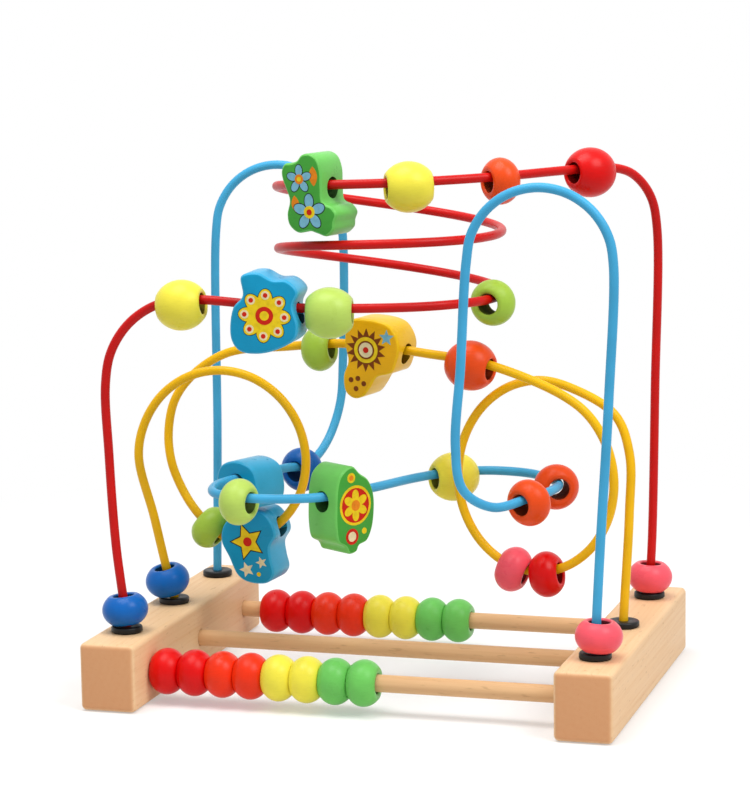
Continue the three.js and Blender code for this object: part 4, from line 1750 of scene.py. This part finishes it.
@dataclass
class CountingRow:
    """Eight counting beads side by side on a rod, two of each paint."""

    beads: TurnedBeads
    row: Row
    start: float
    gap: float = 0.3
    order: tuple[Finish, ...] = (Finish.RED, Finish.VERMILION, Finish.YELLOW, Finish.GREEN)

    def build(self) -> None:
        """Builds the beads from left to right."""
        height = BASE.rod_height - ROD_SLACK / 2 + BASE.seat_gap
        first = -BASE.inner_x + self.start + COUNTING_BEAD.length / 2
        for i in range(2 * len(self.order)):
            x = first + i * (COUNTING_BEAD.length + self.gap)
            place = Matrix.Translation((x, self.row.rod_y, height))
            name = f"{self.row.word}_counting_bead_{i + 1}"
            self.beads.add(name, COUNTING_BEAD, place, self.order[i // 2])


@dataclass
class WirePlay:
    """The three wires and every bead and block that hangs on them."""

    workshop: Workshop
    beads: TurnedBeads
    blocks: ShapedBlocks
    loop_place: float = -6
    loop_gap: float = 2.9
    caught_rise: float = 1.5
    amber_rise: float = 0.7

    def build(self) -> None:
        """Builds the wires and what they carry."""
        self.build_red()
        self.build_blue()
        self.build_yellow()

    def coat(self, name: str, wire: BentWire, finish: Finish) -> BentWire:
        """Adds a wire to the scene and returns it."""
        self.workshop.piece(f"{name}_coat", wire.tube(name), finish, "frame", name)
        return wire

    def hang(self, node: str, wire: BentWire, mark: str, distance: float, form: BeadForm, finish: Finish,
             rise: float = 0.0) -> None:
        """Hangs one bead.

        Args:
            node: The solid that it stands for.
            wire: The wire that carries it.
            mark: The marked point that its place is measured from.
            distance: The distance past the mark.
            form: Its sizes.
            finish: Its paint.
            rise: How far above its lowest place it has caught on the wire.
        """
        reach = (-form.length / 2, form.length / 2)
        self.beads.add(node, form, hang_on(wire, mark, distance, reach, rise), finish)

    def stand(self, node: str, wire: BentWire, side: Side, shift: float, finish: Finish) -> None:
        """Stands one bead on the ferrule at a side, shifted along X by a share of its play."""
        self.beads.add(node, RING_BEAD, stand_on_foot(wire, side, shift), finish)

    def build_red(self) -> None:
        """Builds the red wire with its beads and blocks."""
        wire = self.coat("red_wire", RedWire().bend(), Finish.RED_WIRE)
        self.stand("red_left_foot_bead", wire, Side.LEFT, 0.1, Finish.BLUE)
        self.hang("red_run_yellow_bead", wire, "shoulder4", -3, ROUND_BEAD, Finish.YELLOW)
        self.blocks.add("red_run_blue_block", Outline.WINGS, wire, "run", -13, Finish.SKY, Print.DAISY)
        self.hang("red_run_green_bead", wire, "run", 17, ROUND_BEAD, Finish.LIME)
        self.hang("red_coil_green_ring", wire, "coil90", -9, RING_BEAD, Finish.DEEP_LIME)
        self.blocks.add("red_top_green_block", Outline.TALL, wire, "top0", 3, Finish.GREEN, Print.BELLS)
        self.hang("red_top_yellow_bead", wire, "top1", 4, ROUND_BEAD, Finish.YELLOW)
        self.hang("red_top_orange_ring", wire, "top2", 3, RING_BEAD, Finish.ORANGE)
        self.hang("red_top_red_bead", wire, "top3", 14, ROUND_BEAD, Finish.RED)
        self.stand("red_right_foot_bead", wire, Side.RIGHT, 0, Finish.PINK)

    def build_blue(self) -> None:
        """Builds the blue wire with its beads and blocks."""
        wire = self.coat("blue_wire", BlueWire().bend(), Finish.BLUE_WIRE)
        self.hang("blue_wave_blue_ring", wire, "wave0", -16, RING_BEAD, Finish.BLUE)
        self.blocks.add("blue_wave_blue_block", Outline.ARCH, wire, "wave0", 29, Finish.SKY, along=Axis.X)
        self.hang("blue_wave_green_ring", wire, "wave4", -2, RING_BEAD, Finish.LIME)
        self.blocks.add("blue_wave_green_block", Outline.SHELL, wire, "wave6", 10, Finish.GREEN,
                        Print.ROSETTE)
        self.hang("blue_wave_yellow_bead", wire, "wave9", 0, ROUND_BEAD, Finish.YELLOW)
        self.hang("blue_wave_orange_ring", wire, "wave12", -2, RING_BEAD, Finish.ORANGE)
        self.hang("blue_wave_front_orange_ring", wire, "wave14", -1, RING_BEAD, Finish.ORANGE)
        self.stand("blue_right_foot_bead", wire, Side.RIGHT, 0.6, Finish.PINK)

    def build_yellow(self) -> None:
        """Builds the yellow wire with its beads and blocks."""
        wire = self.coat("yellow_wire", YellowWire().bend(), Finish.YELLOW_WIRE)
        self.stand("yellow_left_foot_bead", wire, Side.LEFT, -0.6, Finish.BLUE)
        self.blocks.add("yellow_loop_blue_block", Outline.PEAR, wire, "climb0", -27.85, Finish.SKY,
                        Print.NIGHT)
        self.hang("yellow_loop_green_ring", wire, "climb0", -1, RING_BEAD, Finish.DEEP_LIME,
                  self.caught_rise)
        self.hang("yellow_hump_green_ring", wire, "hump1", -18, RING_BEAD, Finish.DEEP_LIME)
        self.blocks.add("yellow_hump_amber_block", Outline.COMB, wire, "hump1", 18, Finish.AMBER, Print.SUN,
                        rise=self.amber_rise)
        self.hang("yellow_hump_orange_bead", wire, "hump3", -11, ROUND_BEAD, Finish.ORANGE)
        self.hang("yellow_loop_red_ring", wire, "rightLoop7", self.loop_place, RING_BEAD, Finish.RED)
        beside = self.loop_place + RING_BEAD.length + self.loop_gap
        self.hang("yellow_loop_pink_ring", wire, "rightLoop7", beside, RING_BEAD, Finish.PINK)


# Studio


def seen_level(tree: bpy.types.NodeTree, ambient: float) -> Socket:
    """Gives full white to the camera and to reflections, and a lower level to the light.

    Args:
        tree: The nodes to add to.
        ambient: The level that lights the scene.

    Returns:
        The level for the ray at hand.
    """
    path = tree.nodes.new("ShaderNodeLightPath")
    seen = path.outputs["Is Camera Ray"]
    for ray in ("Is Glossy Ray", "Is Transmission Ray"):
        either = tree.nodes.new("ShaderNodeMath")
        either.operation = "MAXIMUM"
        tree.links.new(seen, either.inputs[0])
        tree.links.new(path.outputs[ray], either.inputs[1])
        seen = either.outputs[0]
    level = tree.nodes.new("ShaderNodeMapRange")
    level.inputs["To Min"].default_value = ambient
    level.inputs["To Max"].default_value = 1.0
    tree.links.new(seen, level.inputs["Value"])
    return level.outputs["Result"]


@dataclass(frozen=True)
class Lamp:
    """One soft, square lamp: its place and the length of its sides in metres, and its power in watts."""

    name: str
    place: Triple
    size: float
    power: float


@dataclass
class Studio:
    """A pale floor, soft light and the camera."""

    eye: Triple = (0.4117, -1.3984, 0.3782)
    turn: Triple = (81.107, 0.847, 16.597)
    focal_pixels: float = 2793.3
    image_height: float = 805
    sensor: float = 36
    clip_end: float = 50
    ambient: float = 0.5
    lamps: tuple[Lamp, ...] = (
        Lamp("key", (0.95, -0.45, 1.3), 0.8, 12.0),
        Lamp("top", (-0.25, -0.25, 1.6), 1.0, 16.0),
    )
    lamp_aim: Triple = (0, 0, 0.12)
    floor_size: float = 8.0
    floor_drop: float = 0.0004
    floor_rough: float = 0.9
    floor_mottle: float = 30
    floor_tones: tuple[Triple, Triple] = ((0.972, 0.970, 0.968), (0.985, 0.984, 0.983))
    floor_fade: Ramp = (0.35, 1.0, 0.22, 0.6)

    def build(self) -> None:
        """Sets up the floor, the light and the camera."""
        self.add_floor()
        self.add_world()
        for lamp in self.lamps:
            self.add_lamp(lamp)
        self.add_camera()
        bpy.context.scene.view_settings.view_transform = "Standard"

    def add_floor(self) -> None:
        """Lays a pale floor just under the toy."""
        half = self.floor_size / 2
        mesh = bpy.data.meshes.new("floor")
        corners = ((-half, -half), (half, -half), (half, half), (-half, half))
        mesh.from_pydata([(x, y, -self.floor_drop) for x, y in corners], [], [(0, 1, 2, 3)])
        mesh.materials.append(self.floor_paint())
        floor = bpy.data.objects.new("floor", mesh)
        bpy.context.scene.collection.objects.link(floor)

    def floor_paint(self) -> bpy.types.Material:
        """Makes a pale paint that takes the toy's shadow and fades to white away from it.

        Returns:
            The material.
        """
        sketch = NodeSketch("pale floor")
        sketch.set(Roughness=self.floor_rough, Specular_IOR_Level=0.0)
        mottle = sketch.noise(sketch.place, self.floor_mottle)
        sketch.feed("Base Color", sketch.mix(mottle, *map(linear, self.floor_tones)))
        fade = sketch.ranged(sketch.vector("LENGTH", sketch.place), *self.floor_fade)
        glow = sketch.add("ShaderNodeEmission", {"Strength": seen_level(sketch.tree, self.ambient)})
        blend = sketch.add("ShaderNodeMixShader", {0: fade, 1: sketch.shader.outputs[0], 2: glow.outputs[0]})
        sketch.tree.links.new(blend.outputs[0], sketch.tree.nodes["Material Output"].inputs["Surface"])
        return sketch.material

    def add_world(self) -> None:
        """Lights the scene evenly and shows white behind it."""
        world = bpy.data.worlds.new("studio")
        bpy.context.scene.world = world
        world.use_nodes = True
        tree = world.node_tree
        background = tree.nodes["Background"]
        background.inputs["Color"].default_value = (1, 1, 1, 1)
        tree.links.new(seen_level(tree, self.ambient), background.inputs["Strength"])

    def add_lamp(self, lamp: Lamp) -> None:
        """Adds a soft lamp that faces the toy.

        Args:
            lamp: The lamp.
        """
        light = bpy.data.lights.new(lamp.name, "AREA")
        light.size = lamp.size
        light.energy = lamp.power
        stand = bpy.data.objects.new(lamp.name, light)
        stand.location = lamp.place
        way = Vector(self.lamp_aim) - Vector(lamp.place)
        stand.rotation_euler = way.to_track_quat("-Z", "Y").to_euler()
        bpy.context.scene.collection.objects.link(stand)

    def add_camera(self) -> None:
        """Sets the camera at the photograph's viewing angle."""
        lens = bpy.data.cameras.new("camera")
        lens.sensor_width = self.sensor
        lens.lens = self.focal_pixels * self.sensor / self.image_height
        lens.clip_end = self.clip_end
        camera = bpy.data.objects.new("camera", lens)
        camera.location = self.eye
        camera.rotation_euler = [math.radians(angle) for angle in self.turn]
        bpy.context.scene.collection.objects.link(camera)
        bpy.context.scene.camera = camera


def main() -> None:
    """Builds the toy and its studio."""
    logging.basicConfig(level=logging.INFO, format="%(name)s: %(message)s")
    workshop = Workshop()
    beads = TurnedBeads(workshop)
    blocks = ShapedBlocks(workshop)
    Base(workshop).build()
    WirePlay(workshop, beads, blocks).build()
    CountingRow(beads, Row.FRONT, start=0.4).build()
    CountingRow(beads, Row.BACK, start=12).build()
    Studio().build()


if __name__ == "__main__":
    main()
